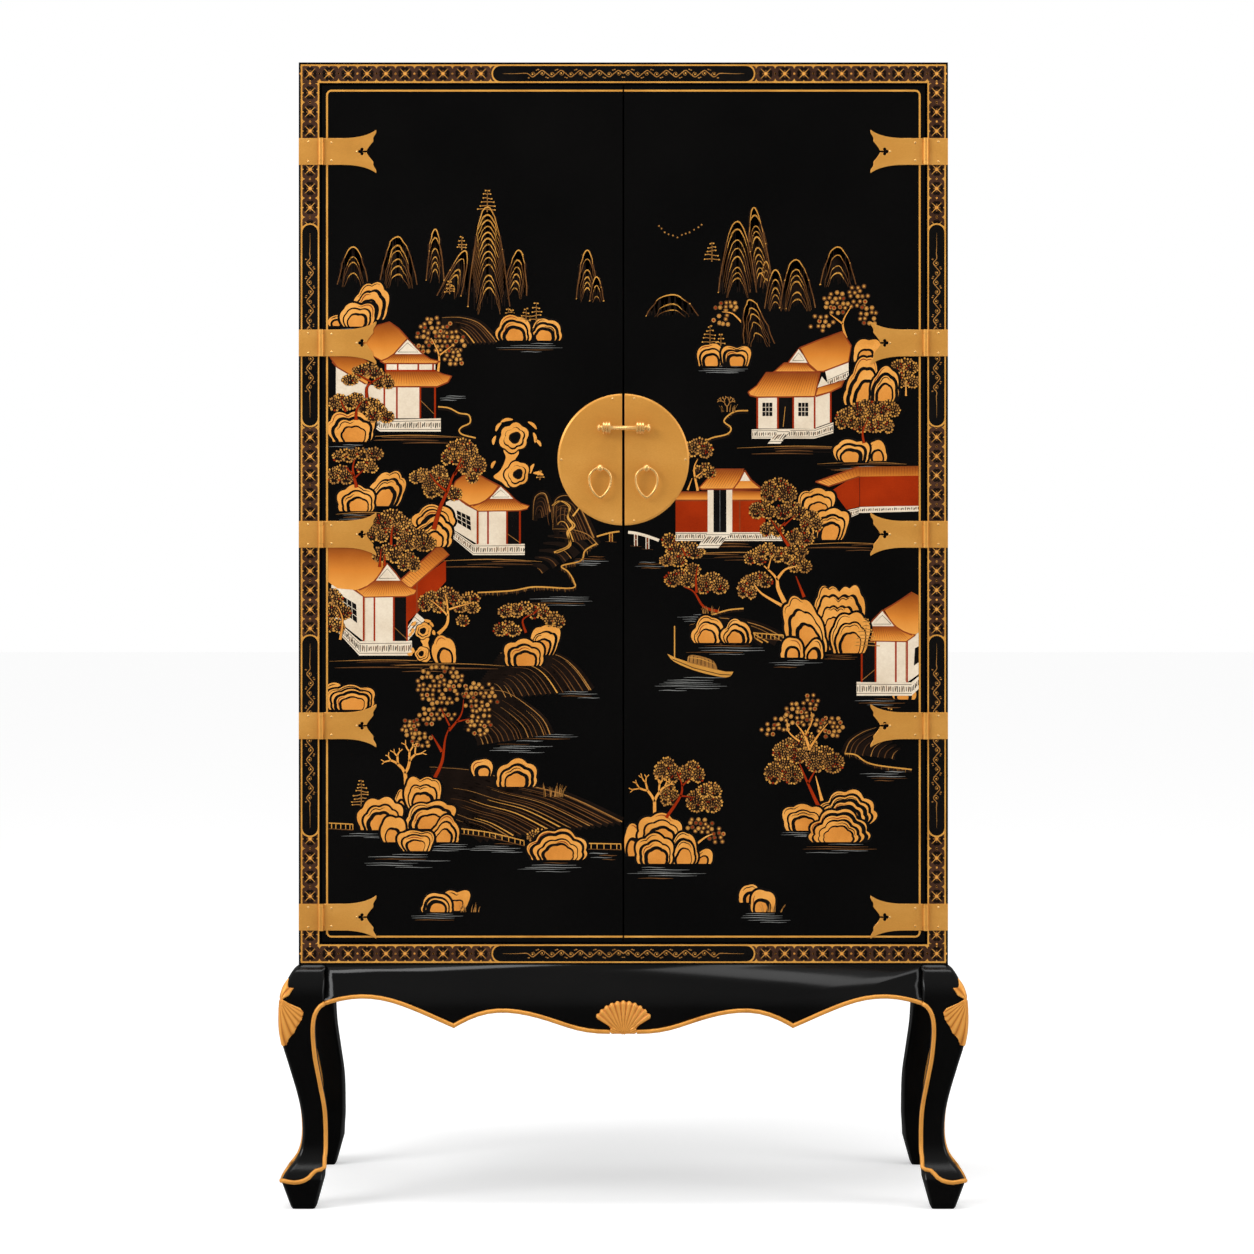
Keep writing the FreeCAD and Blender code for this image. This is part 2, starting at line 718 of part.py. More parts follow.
def make_case(screws):
    """The case's panels, the shelves on their pegs and the door stops."""
    peg_holes = [Part.makeCylinder(peg_radius + peg_fit, peg_depth + peg_fit, place, -X)
                 for place in peg_places()]
    side = box(-side_x, -inside_x, frame_back_y, rear_y, inside_bottom_z, inside_top_z)
    side = side.fuse(side_tongues(0)).cut([back_board(glue_clearance)] + peg_holes)
    write("side_left", side)
    write("side_right", mirrored(side))
    grooves = side_tongues(glue_clearance)
    grooves += [mirrored(groove) for groove in grooves] + [back_board(glue_clearance)]
    write("top_panel", box(-side_x, side_x, frame_back_y, rear_y, inside_top_z, top_z).cut(grooves))
    bottom = box(-side_x, side_x, frame_back_y, rear_y, case_z, inside_bottom_z)
    write("bottom_panel", bottom.cut(grooves + [screw_hole(place) for place in screws]))
    write("back_panel", back_board(0))

    reach = inside_x - shelf_clearance
    for number, z in enumerate(shelf_places(), 1):
        write("shelf_%d" % number, box(-reach, reach, frame_back_y + shelf_setback, back_y - shelf_clearance,
                                       z, z + shelf_thickness))
    pegs = [peg(place) for place in peg_places()]
    write("shelf_pegs", *pegs, *[mirrored(p) for p in pegs])

    y0 = frame_back_y + stop_clearance
    half = stop_length / 2
    write("stop_top", box(-half, half, y0, y0 + stop_depth, door_top_z - stop_lap, inside_top_z))
    write("stop_bottom", box(-half, half, y0, y0 + stop_depth, inside_bottom_z, door_bottom_z + stop_lap))


def make_frame(nail_holes):
    """The face frame round the doors."""
    stile = box(-side_x, -opening_x, front_y, frame_back_y, case_z, top_z)
    stile = stile.cut(rail_tenons(glue_clearance) + nail_holes)
    write("stile_left", stile)
    write("stile_right", mirrored(stile))
    for name, z0, tenon in zip(("rail_bottom", "rail_top"), (case_z, opening_top_z), rail_tenons(0)):
        rail = box(-opening_x, opening_x, front_y, frame_back_y, z0, z0 + frame_width)
        write(name, rail.fuse([tenon, mirrored(tenon)]))


# Nails through brass that lies on the front

def nail(place, rise):
    """A round-headed nail through brass of a thickness, driven in from the front."""
    tip = rise - nail_length
    dome = [(rise + nail_head_height * up, nail_head_radius * out) for up, out in nail_dome_shares]
    return turned([(tip, 0), (tip + nail_point_length, nail_radius), (rise, nail_radius)] + dome, place, -Y)


def nail_hole(place, rise):
    """The hole for a nail, through the brass and into the wood."""
    length = nail_length + nail_fit + overrun
    return Part.makeCylinder(nail_radius + nail_fit, length, place - Y * (rise + overrun), Y)


# Strap hinges on the left, each about its own middle height

def frame_leaf(z, holes):
    """The narrow leaf on the stile, with a knuckle at each end."""
    half = hinge_height / 2
    middle = half - end_knuckle_length
    bare = knuckle_radius + knuckle_side_gap
    axis = V(-hinge_axis_x, hinge_axis_y, z)
    plate = box(-side_x, -hinge_axis_x, front_y - hinge_thickness, front_y, z - half, z + half)
    notch = box(-hinge_axis_x - bare, -hinge_axis_x + bare, hinge_axis_y - bare, hinge_axis_y + bare,
                z - middle, z + middle)
    knuckles = [Part.makeCylinder(knuckle_radius, end_knuckle_length, axis + Z * low, Z)
                for low in (-half, middle)]
    bore = Part.makeCylinder(hinge_pin_radius, hinge_height, axis - Z * half, Z)
    return plate.fuse(knuckles).cut([notch, bore] + holes)


def strap_outline(z):
    """The strap's outline on the door's face, from its root to its flared end."""
    half = hinge_height / 2
    tip = half + strap_flare

    def at(reach, height):
        return V(-hinge_axis_x + reach, front_y, z + height)

    upper, lower = [], []
    for side, edges in ((1, upper), (-1, lower)):
        end = [at(strap_length * along, side * tip * up) for along, up in strap_end_shares]
        bend = at(strap_length * strap_straight_share, side * half)
        flare = Part.BezierCurve()
        flare.setPoles([bend, at(strap_length * strap_bend_share, side * half), end[0]])
        edges += [Part.LineSegment(at(0, side * half), bend).toShape(), flare.toShape(), smooth_edge(end)]
    notch_up, notch_low = [at(strap_length * strap_end_shares[-1][0], side * tip * strap_end_shares[-1][1])
                           for side in (1, -1)]
    close = [Part.LineSegment(notch_up, notch_low).toShape(),
             Part.LineSegment(at(0, -half), at(0, half)).toShape()]
    return Part.Wire(upper + close[:1] + lower[::-1] + close[1:])


def strap(z, holes):
    """The door's leaf: a flared strap with a club-shaped cut-out and the long middle knuckle."""
    half = hinge_height / 2
    middle = half - end_knuckle_length
    bare = knuckle_radius + knuckle_side_gap
    axis = V(-hinge_axis_x, hinge_axis_y, z)
    plate = Part.Face(strap_outline(z)).extrude(Y * -hinge_thickness)
    notches = [box(-hinge_axis_x - bare, -hinge_axis_x + bare, hinge_axis_y - bare, hinge_axis_y + bare,
                   low, high)
               for low, high in ((z - half - overrun, z - middle + knuckle_side_gap),
                                 (z + middle - knuckle_side_gap, z + half + overrun))]
    length = 2 * (middle - knuckle_side_gap)
    knuckle = Part.makeCylinder(knuckle_radius, length, axis - Z * (length / 2), Z)
    bore = Part.makeCylinder(hinge_pin_radius + hinge_pin_fit, hinge_height, axis - Z * half, Z)
    club = V(-hinge_axis_x + strap_length * trefoil_reach_share, front_y + overrun, z)
    lobes = [Part.makeCylinder(trefoil_radius, 3 * overrun, club + step * trefoil_spread, -Y)
             for step in (-X, Z, -Z)]
    neck = box(club.x - trefoil_spread, -hinge_axis_x + strap_length, front_y - overrun, front_y + overrun,
               z - trefoil_neck, z + trefoil_neck)
    return plate.fuse(knuckle).cut(notches + [bore, neck] + lobes + holes)


def hinge_nail_places(z):
    """The places of one hinge's nails, on the stile and on the door."""
    leaf = [V(-hinge_axis_x - hinge_leaf_length * along, front_y, z + hinge_height * up)
            for along, up in leaf_nail_shares]
    door = [V(-hinge_axis_x + strap_length * along, front_y, z + hinge_height * up)
            for along, up in strap_nail_shares]
    return leaf, door


def make_hinges():
    """The ten hinges and all the nails. Gives back the left hinges' nail holes in stile and door."""
    leaves, pins, leaf_nails, strap_nails, stile_holes, door_holes = [], [], [], [], [], []
    for number, z in enumerate(hinge_places, 1):
        on_stile, on_door = hinge_nail_places(z)
        in_stile = [nail_hole(place, hinge_thickness) for place in on_stile]
        in_door = [nail_hole(place, hinge_thickness) for place in on_door]
        leaves.append(frame_leaf(z, in_stile))
        one = strap(z, in_door)
        write("strap_left_%d" % number, one)
        write("strap_right_%d" % number, mirrored(one))
        pins.append(Part.makeCylinder(hinge_pin_radius, hinge_height,
                                      V(-hinge_axis_x, hinge_axis_y, z - hinge_height / 2), Z))
        leaf_nails += [nail(place, hinge_thickness) for place in on_stile]
        strap_nails += [nail(place, hinge_thickness) for place in on_door]
        stile_holes += in_stile
        door_holes += in_door
    write("frame_leaves_left", *leaves)
    write("frame_leaves_right", *[mirrored(one) for one in leaves])
    write("hinge_pins", *pins, *[mirrored(one) for one in pins])
    write("leaf_nails", *leaf_nails, *[mirrored(one) for one in leaf_nails])
    nails = strap_nails + [nail(place, plate_thickness) for place in plate_nail_places()]
    write("door_nails_left", *nails)
    write("door_nails_right", *[mirrored(one) for one in nails])
    return stile_holes, door_holes


# Lock plate, staples and bolt

def plate_nail_places():
    """The left half plate's nails."""
    reach = plate_radius - plate_nail_inset
    places = []
    for angle in plate_nail_angles:
        turn = math.radians(angle)
        places.append(V(-reach * math.cos(turn), front_y, plate_z + reach * math.sin(turn)))
    return places


def staple_parts(side):
    """A staple's solid and its shank's hole, on the left (side -1) or the right."""
    middle = V(side * staple_place, bolt_y, bolt_z)
    half = staple_length / 2
    rings = turned([(half * along, staple_radius * out) for along, out in staple_ring_shares], middle, X)
    neck = Part.makeCylinder(staple_neck_radius, bolt_stand_off, middle, Y)
    depth = plate_thickness + staple_shank_length
    shank = Part.makeCylinder(staple_shank_radius, bolt_stand_off + depth, middle, Y)
    bore = Part.makeCylinder(staple_bore_radius, 2 * staple_length, middle - X * staple_length, X)
    hole = Part.makeCylinder(staple_shank_radius + nail_fit, depth + nail_fit,
                             V(middle.x, plate_face_y, middle.z), Y)
    return rings.fuse([neck, shank]).cut(bore), hole


def knob(end, length, radius, inwards):
    """The profile of a round knob, from its end inwards along X."""
    return [(end + inwards * length * along, radius * out) for along, out in knob_shares]


def make_bolt():
    """The bolt: a knob that passes the staples at its left end, and a thicker one at its right."""
    outer, inner = staple_place + staple_length / 2, staple_place - staple_length / 2
    over = bolt_journal_overlap
    tip = -outer - bolt_tip_length
    profile = knob(tip, bolt_tip_length - over, bolt_journal_radius, 1)
    profile += [(-outer - over, bolt_neck_radius), (-outer - over, bolt_journal_radius),
                (-inner + over, bolt_journal_radius), (-inner + over, bolt_rod_radius),
                (inner - over, bolt_rod_radius), (inner - over, bolt_journal_radius),
                (outer + bolt_head_gap, bolt_journal_radius)]
    head = outer + bolt_head_gap + bolt_head_length
    profile += [(outer + bolt_head_gap, bolt_head_radius), (outer + bolt_head_gap + over, bolt_head_radius),
                (outer + bolt_head_gap + over, bolt_neck_radius)]
    profile += knob(head, bolt_head_length - over, bolt_head_radius, -1)[::-1]
    write("bolt", turned(profile, V(0, bolt_y, bolt_z), X))


# Ring pulls

def post(side):
    """A ball post with a hole for its ring, and its shank's hole in the plate and the door."""
    foot = V(side * post_place, plate_face_y, post_z)
    middle = V(foot.x, post_y, post_z)
    depth = plate_thickness + staple_shank_length
    neck = post_stand_off - math.sqrt(post_ball_radius ** 2 - post_neck_radius ** 2)
    stem = [foot - Y * reach + Z * radius for reach, radius in (
        (-depth, 0), (-depth, staple_shank_radius), (0, staple_shank_radius), (0, post_foot_radius),
        (post_foot_height / 2, post_foot_radius), (post_foot_height, post_neck_radius),
        (neck, post_neck_radius))]
    front = middle - Y * post_ball_radius
    edges = Part.makePolygon(stem).Edges
    edges += [Part.Arc(stem[-1], middle + Z * post_ball_radius, front).toShape(),
              Part.LineSegment(front, stem[0]).toShape()]
    solid = Part.Face(Part.Wire(edges)).revolve(foot, Y, 360)
    eye = Part.makeCylinder(post_hole_radius, 2 * post_ball_radius, middle - X * post_ball_radius, X)
    hole = Part.makeCylinder(staple_shank_radius + nail_fit, depth + nail_fit, foot, Y)
    return solid.cut(eye), hole


def ring(side):
    """A drop-shaped ring: round at the top, with long curved sides that run down to a small curve."""
    wide = ring_width / 2 - ring_wire_radius
    tip = ring_tip_radius
    top = V(side * post_place, post_y, post_z)
    upper = top - Z * wide
    lower = top - Z * (ring_length - 2 * ring_wire_radius - tip)
    fall = (upper - lower).Length
    sweep = (wide ** 2 - tip ** 2 + fall ** 2) / (2 * (wide - tip))
    turn = math.atan2(fall, sweep - wide)

    def on_side(hand, angle):
        """A point of the long curve on one hand, at an angle below its widest place."""
        return upper + X * (hand * (wide - sweep + sweep * math.cos(angle))) - Z * (sweep * math.sin(angle))

    path = Part.Wire([Part.Arc(on_side(-1, 0), top, on_side(1, 0)).toShape(),
                      Part.Arc(on_side(1, 0), on_side(1, turn / 2), on_side(1, turn)).toShape(),
                      Part.Arc(on_side(1, turn), lower - Z * tip, on_side(-1, turn)).toShape(),
                      Part.Arc(on_side(-1, turn), on_side(-1, turn / 2), on_side(-1, 0)).toShape()])
    wire = Part.makeCircle(ring_wire_radius, on_side(-1, 0), Z)
    return path.makePipeShell([Part.Wire(wire)], True, False)


def make_hardware():
    """The plates, staples, bolt and ring pulls. Gives back the holes in the left door."""
    disc = turned([(0, plate_radius), (plate_rim_thickness, plate_radius),
                   (plate_thickness, plate_radius - plate_bevel)], V(0, front_y, plate_z), -Y)
    edge = plate_edge_gap / 2
    half = disc.common(box(-plate_radius - overrun, -edge, plate_face_y - overrun, front_y,
                           plate_z - plate_radius - overrun, plate_z + plate_radius + overrun))
    holes = [nail_hole(place, plate_thickness) for place in plate_nail_places()]
    staple, staple_hole = staple_parts(-1)
    pull, post_hole = post(-1)
    holes += [staple_hole, post_hole]
    plate = half.cut(holes)
    drop = ring(-1)
    for name, solid in (("lock_plate", plate), ("staple", staple), ("pull_post", pull), ("pull_ring", drop)):
        write(name + "_left", solid)
        write(name + "_right", mirrored(solid))
    make_bolt()
    return holes


def make_doors(holes):
    """The two doors."""
    door = box(-door_outer_x, -door_inner_x, front_y, frame_back_y, door_bottom_z, door_top_z).cut(holes)
    write("door_left", door)
    write("door_right", mirrored(door))


def main():
    """Every sub-part."""
    os.makedirs("parts", exist_ok=True)
    blank, front_bead = make_legs()
    make_aprons(blank, front_bead)
    make_knee_leaves(blank)
    screws = make_corner_blocks()
    make_case(screws)
    stile_holes, door_holes = make_hinges()
    make_frame(stile_holes)
    make_doors(door_holes + make_hardware())


main()
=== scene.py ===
# %% [markdown]
# A black lacquer cabinet with gold landscape doors
#
# The real thing is a two-door cabinet on a carved stand. Its carcase is softwood under many coats
# of black lacquer, the doors carry a raised landscape in gold and colours, and the hinges, lock
# plate, bolt and pulls are brass. The construction is already solved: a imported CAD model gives
# every board, hinge and pin in metres. This file dresses that frame. It loads the model, gives each
# wood, lacquer and metal its own procedural material, swaps curved parts for smoother ones and
# draws the decoration as thin raised shapes that ride with the doors.

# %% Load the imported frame
import json
import math
import random

import bpy
import bmesh
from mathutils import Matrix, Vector

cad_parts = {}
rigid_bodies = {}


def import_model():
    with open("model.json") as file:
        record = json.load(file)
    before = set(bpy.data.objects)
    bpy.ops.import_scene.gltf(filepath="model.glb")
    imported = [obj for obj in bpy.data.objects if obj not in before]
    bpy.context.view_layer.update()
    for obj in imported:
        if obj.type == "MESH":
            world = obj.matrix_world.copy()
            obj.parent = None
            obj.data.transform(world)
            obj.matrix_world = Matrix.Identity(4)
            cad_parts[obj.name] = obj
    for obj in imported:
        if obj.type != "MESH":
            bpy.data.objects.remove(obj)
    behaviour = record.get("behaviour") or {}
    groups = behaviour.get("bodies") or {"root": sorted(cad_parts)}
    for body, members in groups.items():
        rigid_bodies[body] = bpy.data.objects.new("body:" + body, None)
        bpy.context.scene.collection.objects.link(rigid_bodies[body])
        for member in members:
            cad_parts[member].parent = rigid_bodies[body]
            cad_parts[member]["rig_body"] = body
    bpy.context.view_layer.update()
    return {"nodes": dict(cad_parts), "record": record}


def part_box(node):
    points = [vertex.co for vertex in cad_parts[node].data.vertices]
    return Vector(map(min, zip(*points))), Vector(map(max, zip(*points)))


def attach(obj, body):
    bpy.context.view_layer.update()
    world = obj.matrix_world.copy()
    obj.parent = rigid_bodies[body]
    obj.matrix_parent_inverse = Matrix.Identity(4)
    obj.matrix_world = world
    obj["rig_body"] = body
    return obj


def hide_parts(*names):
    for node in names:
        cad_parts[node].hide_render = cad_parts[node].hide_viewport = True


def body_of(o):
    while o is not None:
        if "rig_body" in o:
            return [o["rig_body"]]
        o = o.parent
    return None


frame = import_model()
nodes = frame["nodes"]

# %% [markdown]
# Landmarks
#
# Decoration has to sit on boards that the CAD model places, so the few sizes that this file needs
# are read from the frame instead of being typed in again. The drawing itself is planned in
# millimetres on the cabinet's front, with x from the middle and z up from the floor, because that
# is how a painter would lay it out with a rule.

# %% Places read from the frame
MM = 0.001
(left_corner, left_top), (right_corner, right_top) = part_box("door_left"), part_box("door_right")
door_face = left_corner.y
door_low, door_high = left_corner.z / MM, left_top.z / MM
door_edge, door_seam = right_top.x / MM, right_corner.x / MM
stile_low, stile_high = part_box("stile_left")
frame_face = stile_low.y
case_half = -stile_low.x / MM
case_low, case_high = stile_low.z / MM, stile_high.z / MM
print("door face y:", round(door_face, 4), "door z:", door_low, door_high, "door x:", door_seam, door_edge)
print("frame face y:", round(frame_face, 4), "case half:", case_half, "z:", case_low, case_high)

# %% [markdown]
# Camera
#
# The photograph looks straight at the front from about seven metres away, level with the floor and
# a little above half height, so upright edges stay upright. A level camera with a small lens shift
# does that. Tilting the camera instead would make the stand taper.

# %% Camera
EYE = (0, -6.906, 1.066)
LENS, SENSOR = 121.8, 36
SHIFT_X, SHIFT_Y = 0.0029, -0.0777


def linked(name, data):
    """A new object in the scene that holds data."""
    obj = bpy.data.objects.new(name, data)
    bpy.context.collection.objects.link(obj)
    return obj


camera = linked("camera", bpy.data.cameras.new("camera"))
camera.location = EYE
camera.rotation_euler = (math.radians(90), 0, 0)
camera.data.lens, camera.data.sensor_width = LENS, SENSOR
camera.data.sensor_fit = "HORIZONTAL"
camera.data.shift_x, camera.data.shift_y = SHIFT_X, SHIFT_Y
camera.data.clip_end = 100
scene = bpy.context.scene
scene.camera = camera
scene.view_settings.view_transform = "Standard"
print("camera at", EYE, "lens", LENS)

# %% [markdown]
# A short way to write node trees
#
# Materials, the world and Geometry Nodes are all trees of nodes. One helper adds a node, sets its
# values and joins its inputs in a single line, so that a tree reads from top to bottom like a
# recipe.

# %% Node helpers


def nodes_of(tree):
    """Empties a node tree and gives a function that adds a node to it."""
    tree.nodes.clear()

    def add(kind, joined=None, **values):
        """joined maps an input's name or number to the socket, or the node, that feeds it."""
        node = tree.nodes.new(kind)
        for name, value in values.items():
            if hasattr(node, name):
                setattr(node, name, value)
            else:
                node.inputs[name.replace("_", " ")].default_value = value
        for key, source in (joined or {}).items():
            tree.links.new(getattr(source, "outputs", [source])[0], node.inputs[key])
        return node

    return add


def ramp_of(add, source, stops):
    """A colour ramp on source. stops is a list of (position, colour)."""
    ramp = add("ShaderNodeValToRGB", {0: source})
    elements = ramp.color_ramp.elements
    while len(elements) < len(stops):
        elements.new(0.5)
    for element, (position, colour) in zip(elements, stops):
        element.position = position
        element.color = (*colour, 1)
    return ramp


def grey(value):
    """A grey colour."""
    return value, value, value


# %% [markdown]
# Studio
#
# Black lacquer shows the room rather than its own colour, so the room is what makes it look right.
# The sky is white to the camera, plain to matt surfaces, and for reflections it is a dark room with
# pale walls at the sides and above. That keeps the flat doors black, as they are in a photograph
# taken from a dark spot, while the round legs pick up soft bright lines. Lamps from the left, the
# right and above give the carving and brass some shape.

# %% World
SKY, WALL_DARK, WALL_PALE, CEILING_PALE = 0.62, 0.05, 0.62, 0.38
world = bpy.data.worlds.new("studio")
world.use_nodes = True
scene.world = world
add = nodes_of(world.node_tree)
ray = add("ShaderNodeLightPath")
where = add("ShaderNodeTexCoord")
part = add("ShaderNodeSeparateXYZ", {0: where.outputs["Generated"]})
aside = add("ShaderNodeMath", {0: part.outputs["X"]}, operation="ABSOLUTE")
walls = ramp_of(add, aside, [(0.45, grey(WALL_DARK)), (0.9, grey(WALL_PALE))])
ceiling = ramp_of(add, part.outputs["Z"], [(0.2, grey(0)), (0.8, grey(CEILING_PALE))])
room = add("ShaderNodeMix", {"A": walls, "B": ceiling}, data_type="RGBA", blend_type="ADD", Factor=1)
plain = add("ShaderNodeBackground", Color=(*grey(SKY), 1), Strength=1)
mirrored_room = add("ShaderNodeBackground", {"Color": room.outputs["Result"]}, Strength=1)
white = add("ShaderNodeBackground", Color=(1, 1, 1, 1), Strength=1)
for_gloss = add("ShaderNodeMixShader", {0: ray.outputs["Is Glossy Ray"], 1: plain, 2: mirrored_room})
for_eye = add("ShaderNodeMixShader", {0: ray.outputs["Is Camera Ray"], 1: for_gloss, 2: white})
add("ShaderNodeOutputWorld", {"Surface": for_eye})
print("world made")

# %% Lamps
LAMPS = [
    ("lamp_left", (-3.6, -3.2, 3.4), (2.4, 1.8), 112),
    ("lamp_right", (3.9, -2.2, 2.6), (2.0, 2.0), 40),
    ("lamp_top", (0.0, -1.0, 4.6), (3.0, 1.4), 62),
]
LAMP_AIM = Vector((0, 0, 0.95))
for name, place, size, watts in LAMPS:
    data = bpy.data.lights.new(name, "AREA")
    data.shape = "RECTANGLE"
    data.size, data.size_y = size
    data.energy = watts
    lamp = linked(name, data)
    lamp.location = place
    lamp.rotation_euler = (LAMP_AIM - Vector(place)).to_track_quat("-Z", "Y").to_euler()
    print(name, watts, "W")

# %% [markdown]
# Floor
#
# The floor is one big white sheet. A matt sheet under this light comes out a little grey, so it
# glows faintly for the camera only. The shadow under the feet stays, because it is darker than the
# glow can hide. Reflections leave the sheet out, because a black door that mirrors a white floor
# reads as grey.

# %% Floor
FLOOR_REACH, FLOOR_TONE, FLOOR_GLOW = 30, 0.88, 0.42


def make_object(name, vertices, faces, edges=()):
    """A mesh object at the origin, from vertices in metres and faces or edges."""
    mesh = bpy.data.meshes.new(name)
    mesh.from_pydata(vertices, edges, faces)
    mesh.update()
    return linked(name, mesh)


floor = make_object("floor", [(FLOOR_REACH * x, FLOOR_REACH * y, 0) for x, y in ((-1, -1), (1, -1), (1, 1), (-1, 1))],
                    [(0, 1, 2, 3)])
paper = bpy.data.materials.new("floor_paper")
paper.use_nodes = True
add = nodes_of(paper.node_tree)
matt = add("ShaderNodeBsdfDiffuse", Color=(*grey(FLOOR_TONE), 1))
glow = add("ShaderNodeEmission", Color=(1, 1, 1, 1), Strength=FLOOR_GLOW)
both = add("ShaderNodeAddShader", {0: matt, 1: glow})
ray = add("ShaderNodeLightPath")
seen = add("ShaderNodeMixShader", {0: ray.outputs["Is Camera Ray"], 1: matt, 2: both})
add("ShaderNodeOutputMaterial", {"Surface": seen})
floor.data.materials.append(paper)
floor.visible_glossy = False
print("floor laid")

# %% [markdown]
# Finishes
#
# A flat colour never looks like lacquer, leaf or brass. Real coats vary over a hand's width, where
# they were rubbed, and again over a hair's width, where dust and brush marks lie. So one recipe
# mixes a broad noise and a fine noise into a colour ramp, and the fine one also moves the roughness
# and the relief. Both read Object coordinates, which stay put when a door opens. The differences
# between the finishes are only their tones, gloss and grain, so they share the recipe.

# %% A recipe for finishes


def finish(name, tones, roughness, metallic=0.0, specular=0.4, stretch=(1, 1, 1), broad=9.0, fine=700.0,
           fine_share=0.3, relief=0.00002, shaded=0.0):
    """A procedural material. tones is a list of (position, colour), roughness a lowest and highest.

    shaded is how much the mesh's own attribute "shade" picks the tone instead of the noise."""
    material = bpy.data.materials.new(name)
    material.use_nodes = True
    add = nodes_of(material.node_tree)

    def mixed(share, first, second):
        mix = add("ShaderNodeMix", {2: first, 3: second}, data_type="FLOAT")
        mix.inputs[0].default_value = share
        return mix

    place = add("ShaderNodeTexCoord")
    spread = add("ShaderNodeMapping", {"Vector": place.outputs["Object"]}, Scale=stretch)
    patches = add("ShaderNodeTexNoise", {"Vector": spread}, Scale=broad, Detail=3.0)
    marks = add("ShaderNodeTexNoise", {"Vector": spread}, Scale=fine, Detail=2.0)
    mix = tone = mixed(fine_share, patches, marks)
    if shaded:
        shade = add("ShaderNodeAttribute", attribute_name="shade")
        tone = mixed(shaded, mix, shade.outputs["Fac"])
    ramp = ramp_of(add, tone, tones)
    gloss = add("ShaderNodeMapRange", {"Value": mix}, From_Min=0.3, From_Max=0.7, To_Min=roughness[0],
                To_Max=roughness[1])
    bump = add("ShaderNodeBump", {"Height": marks}, Distance=relief)
    shader = add("ShaderNodeBsdfPrincipled", {"Base Color": ramp, "Roughness": gloss, "Normal": bump},
                 Metallic=metallic, Specular_IOR_Level=specular)
    add("ShaderNodeOutputMaterial", {"Surface": shader})
    return material


# %% [markdown]
# Lacquer, wood and metals
#
# The outside lacquer is polished almost to a mirror, but its base is so dark that only reflections
# show. The inside has fewer coats and keeps a satin sheen, and the back is plain stained boards.
# Brass is a satin metal with faint brushing. Its turned parts are polished to more gloss, and their tones
# are also lighter than the other brass as painted light. The gilding is gold over a red ground that
# shows where it is thin.

# %% Carcase and metal finishes
LEAF_GRAIN = dict(metallic=0.3, broad=38, fine=900, fine_share=0.45, relief=0.00006)
finishes = {
    "lacquer": finish("black_lacquer", [(0.3, (0.0018, 0.0018, 0.0018)), (0.7, (0.0034, 0.0031, 0.0029))],
                      (0.14, 0.24), specular=0.22, broad=5, fine=260, fine_share=0.2, relief=0.000012),
    "door_lacquer": finish("door_lacquer", [(0.3, (0.0018, 0.0018, 0.0018)), (0.7, (0.0032, 0.0029, 0.0027))],
                           (0.15, 0.25), specular=0.20, broad=4, fine=240, fine_share=0.2, relief=0.000012),
    "inside_lacquer": finish("inside_lacquer", [(0.3, (0.036, 0.0085, 0.0050)), (0.7, (0.075, 0.017, 0.009))],
                             (0.36, 0.52), specular=0.34, stretch=(1, 1, 6), broad=7, fine=220, relief=0.00005),
    "back_boards": finish("stained_boards", [(0.3, (0.012, 0.0075, 0.0052)), (0.5, (0.020, 0.0125, 0.0085)),
                                             (0.7, (0.032, 0.020, 0.013))], (0.5, 0.68), specular=0.3,
                          stretch=(9, 9, 0.5), broad=7, fine=90, fine_share=0.45, relief=0.0001),
    "bare_wood": finish("bare_wood", [(0.25, (0.30, 0.17, 0.08)), (0.5, (0.42, 0.26, 0.135)),
                                      (0.75, (0.50, 0.33, 0.18))],
                        (0.55, 0.75), specular=0.3, stretch=(0.6, 9, 9), fine=160, relief=0.0001),
    "gilt": finish("gilt", [(0.28, (0.50, 0.16, 0.025)), (0.40, (0.74, 0.31, 0.05)), (0.62, (0.88, 0.385, 0.066)),
                            (0.8, (0.96, 0.50, 0.13))], (0.32, 0.5), **LEAF_GRAIN),
    # Gilt that the mesh's shade attribute darkens into the carved grooves: painted shade
    "carved_gilt": finish("carved_gilt", [(0.0, (0.20, 0.045, 0.006)), (0.35, (0.50, 0.17, 0.024)),
                                          (0.7, (0.80, 0.31, 0.045)), (1.0, (0.94, 0.46, 0.10))],
                          (0.32, 0.5), shaded=0.8, **LEAF_GRAIN),
    "brass": finish("satin_brass", [(0.25, (0.70, 0.305, 0.053)), (0.5, (0.80, 0.365, 0.066)),
                                    (0.75, (0.90, 0.45, 0.10))],
                    (0.28, 0.40), metallic=0.4, stretch=(1, 1, 2), fine=420),
    "plate_brass": finish("plate_brass", [(0.25, (0.63, 0.268, 0.045)), (0.5, (0.72, 0.322, 0.056)),
                                          (0.75, (0.81, 0.395, 0.085))], (0.30, 0.42), metallic=0.3, specular=0.3,
                          stretch=(1, 1, 2), broad=6, fine=420),
    # Turned brass: glossier, with tones made lighter than the other brass as painted light
    "turned_brass": finish("turned_brass", [(0.25, (0.92, 0.50, 0.13)), (0.75, (1.0, 0.66, 0.26))],
                           (0.20, 0.32), metallic=0.6, specular=0.5, broad=40, fine=520, relief=0.00001),
    "steel": finish("screw_steel", [(0.3, (0.30, 0.30, 0.29)), (0.7, (0.46, 0.45, 0.43))],
                    (0.35, 0.5), metallic=0.9, broad=60, fine=900),
}
print("finishes:", sorted(finishes))

# %% Finishes on the CAD nodes
slots = {row["node"]: row["material_slot"] for row in frame["record"]["subparts"]}
TURNED = ("bolt", "pull_", "staple_", "door_nails", "leaf_nails", "hinge_pins")
OWN = {"lock_plate_left": "plate_brass", "lock_plate_right": "plate_brass", "back_panel": "back_boards"}
for name, obj in nodes.items():
    obj.data.materials.clear()
    finish_name = "turned_brass" if name.startswith(TURNED) else OWN.get(name, slots[name])
    obj.data.materials.append(finishes[finish_name])
print("dressed", len(nodes), "nodes")

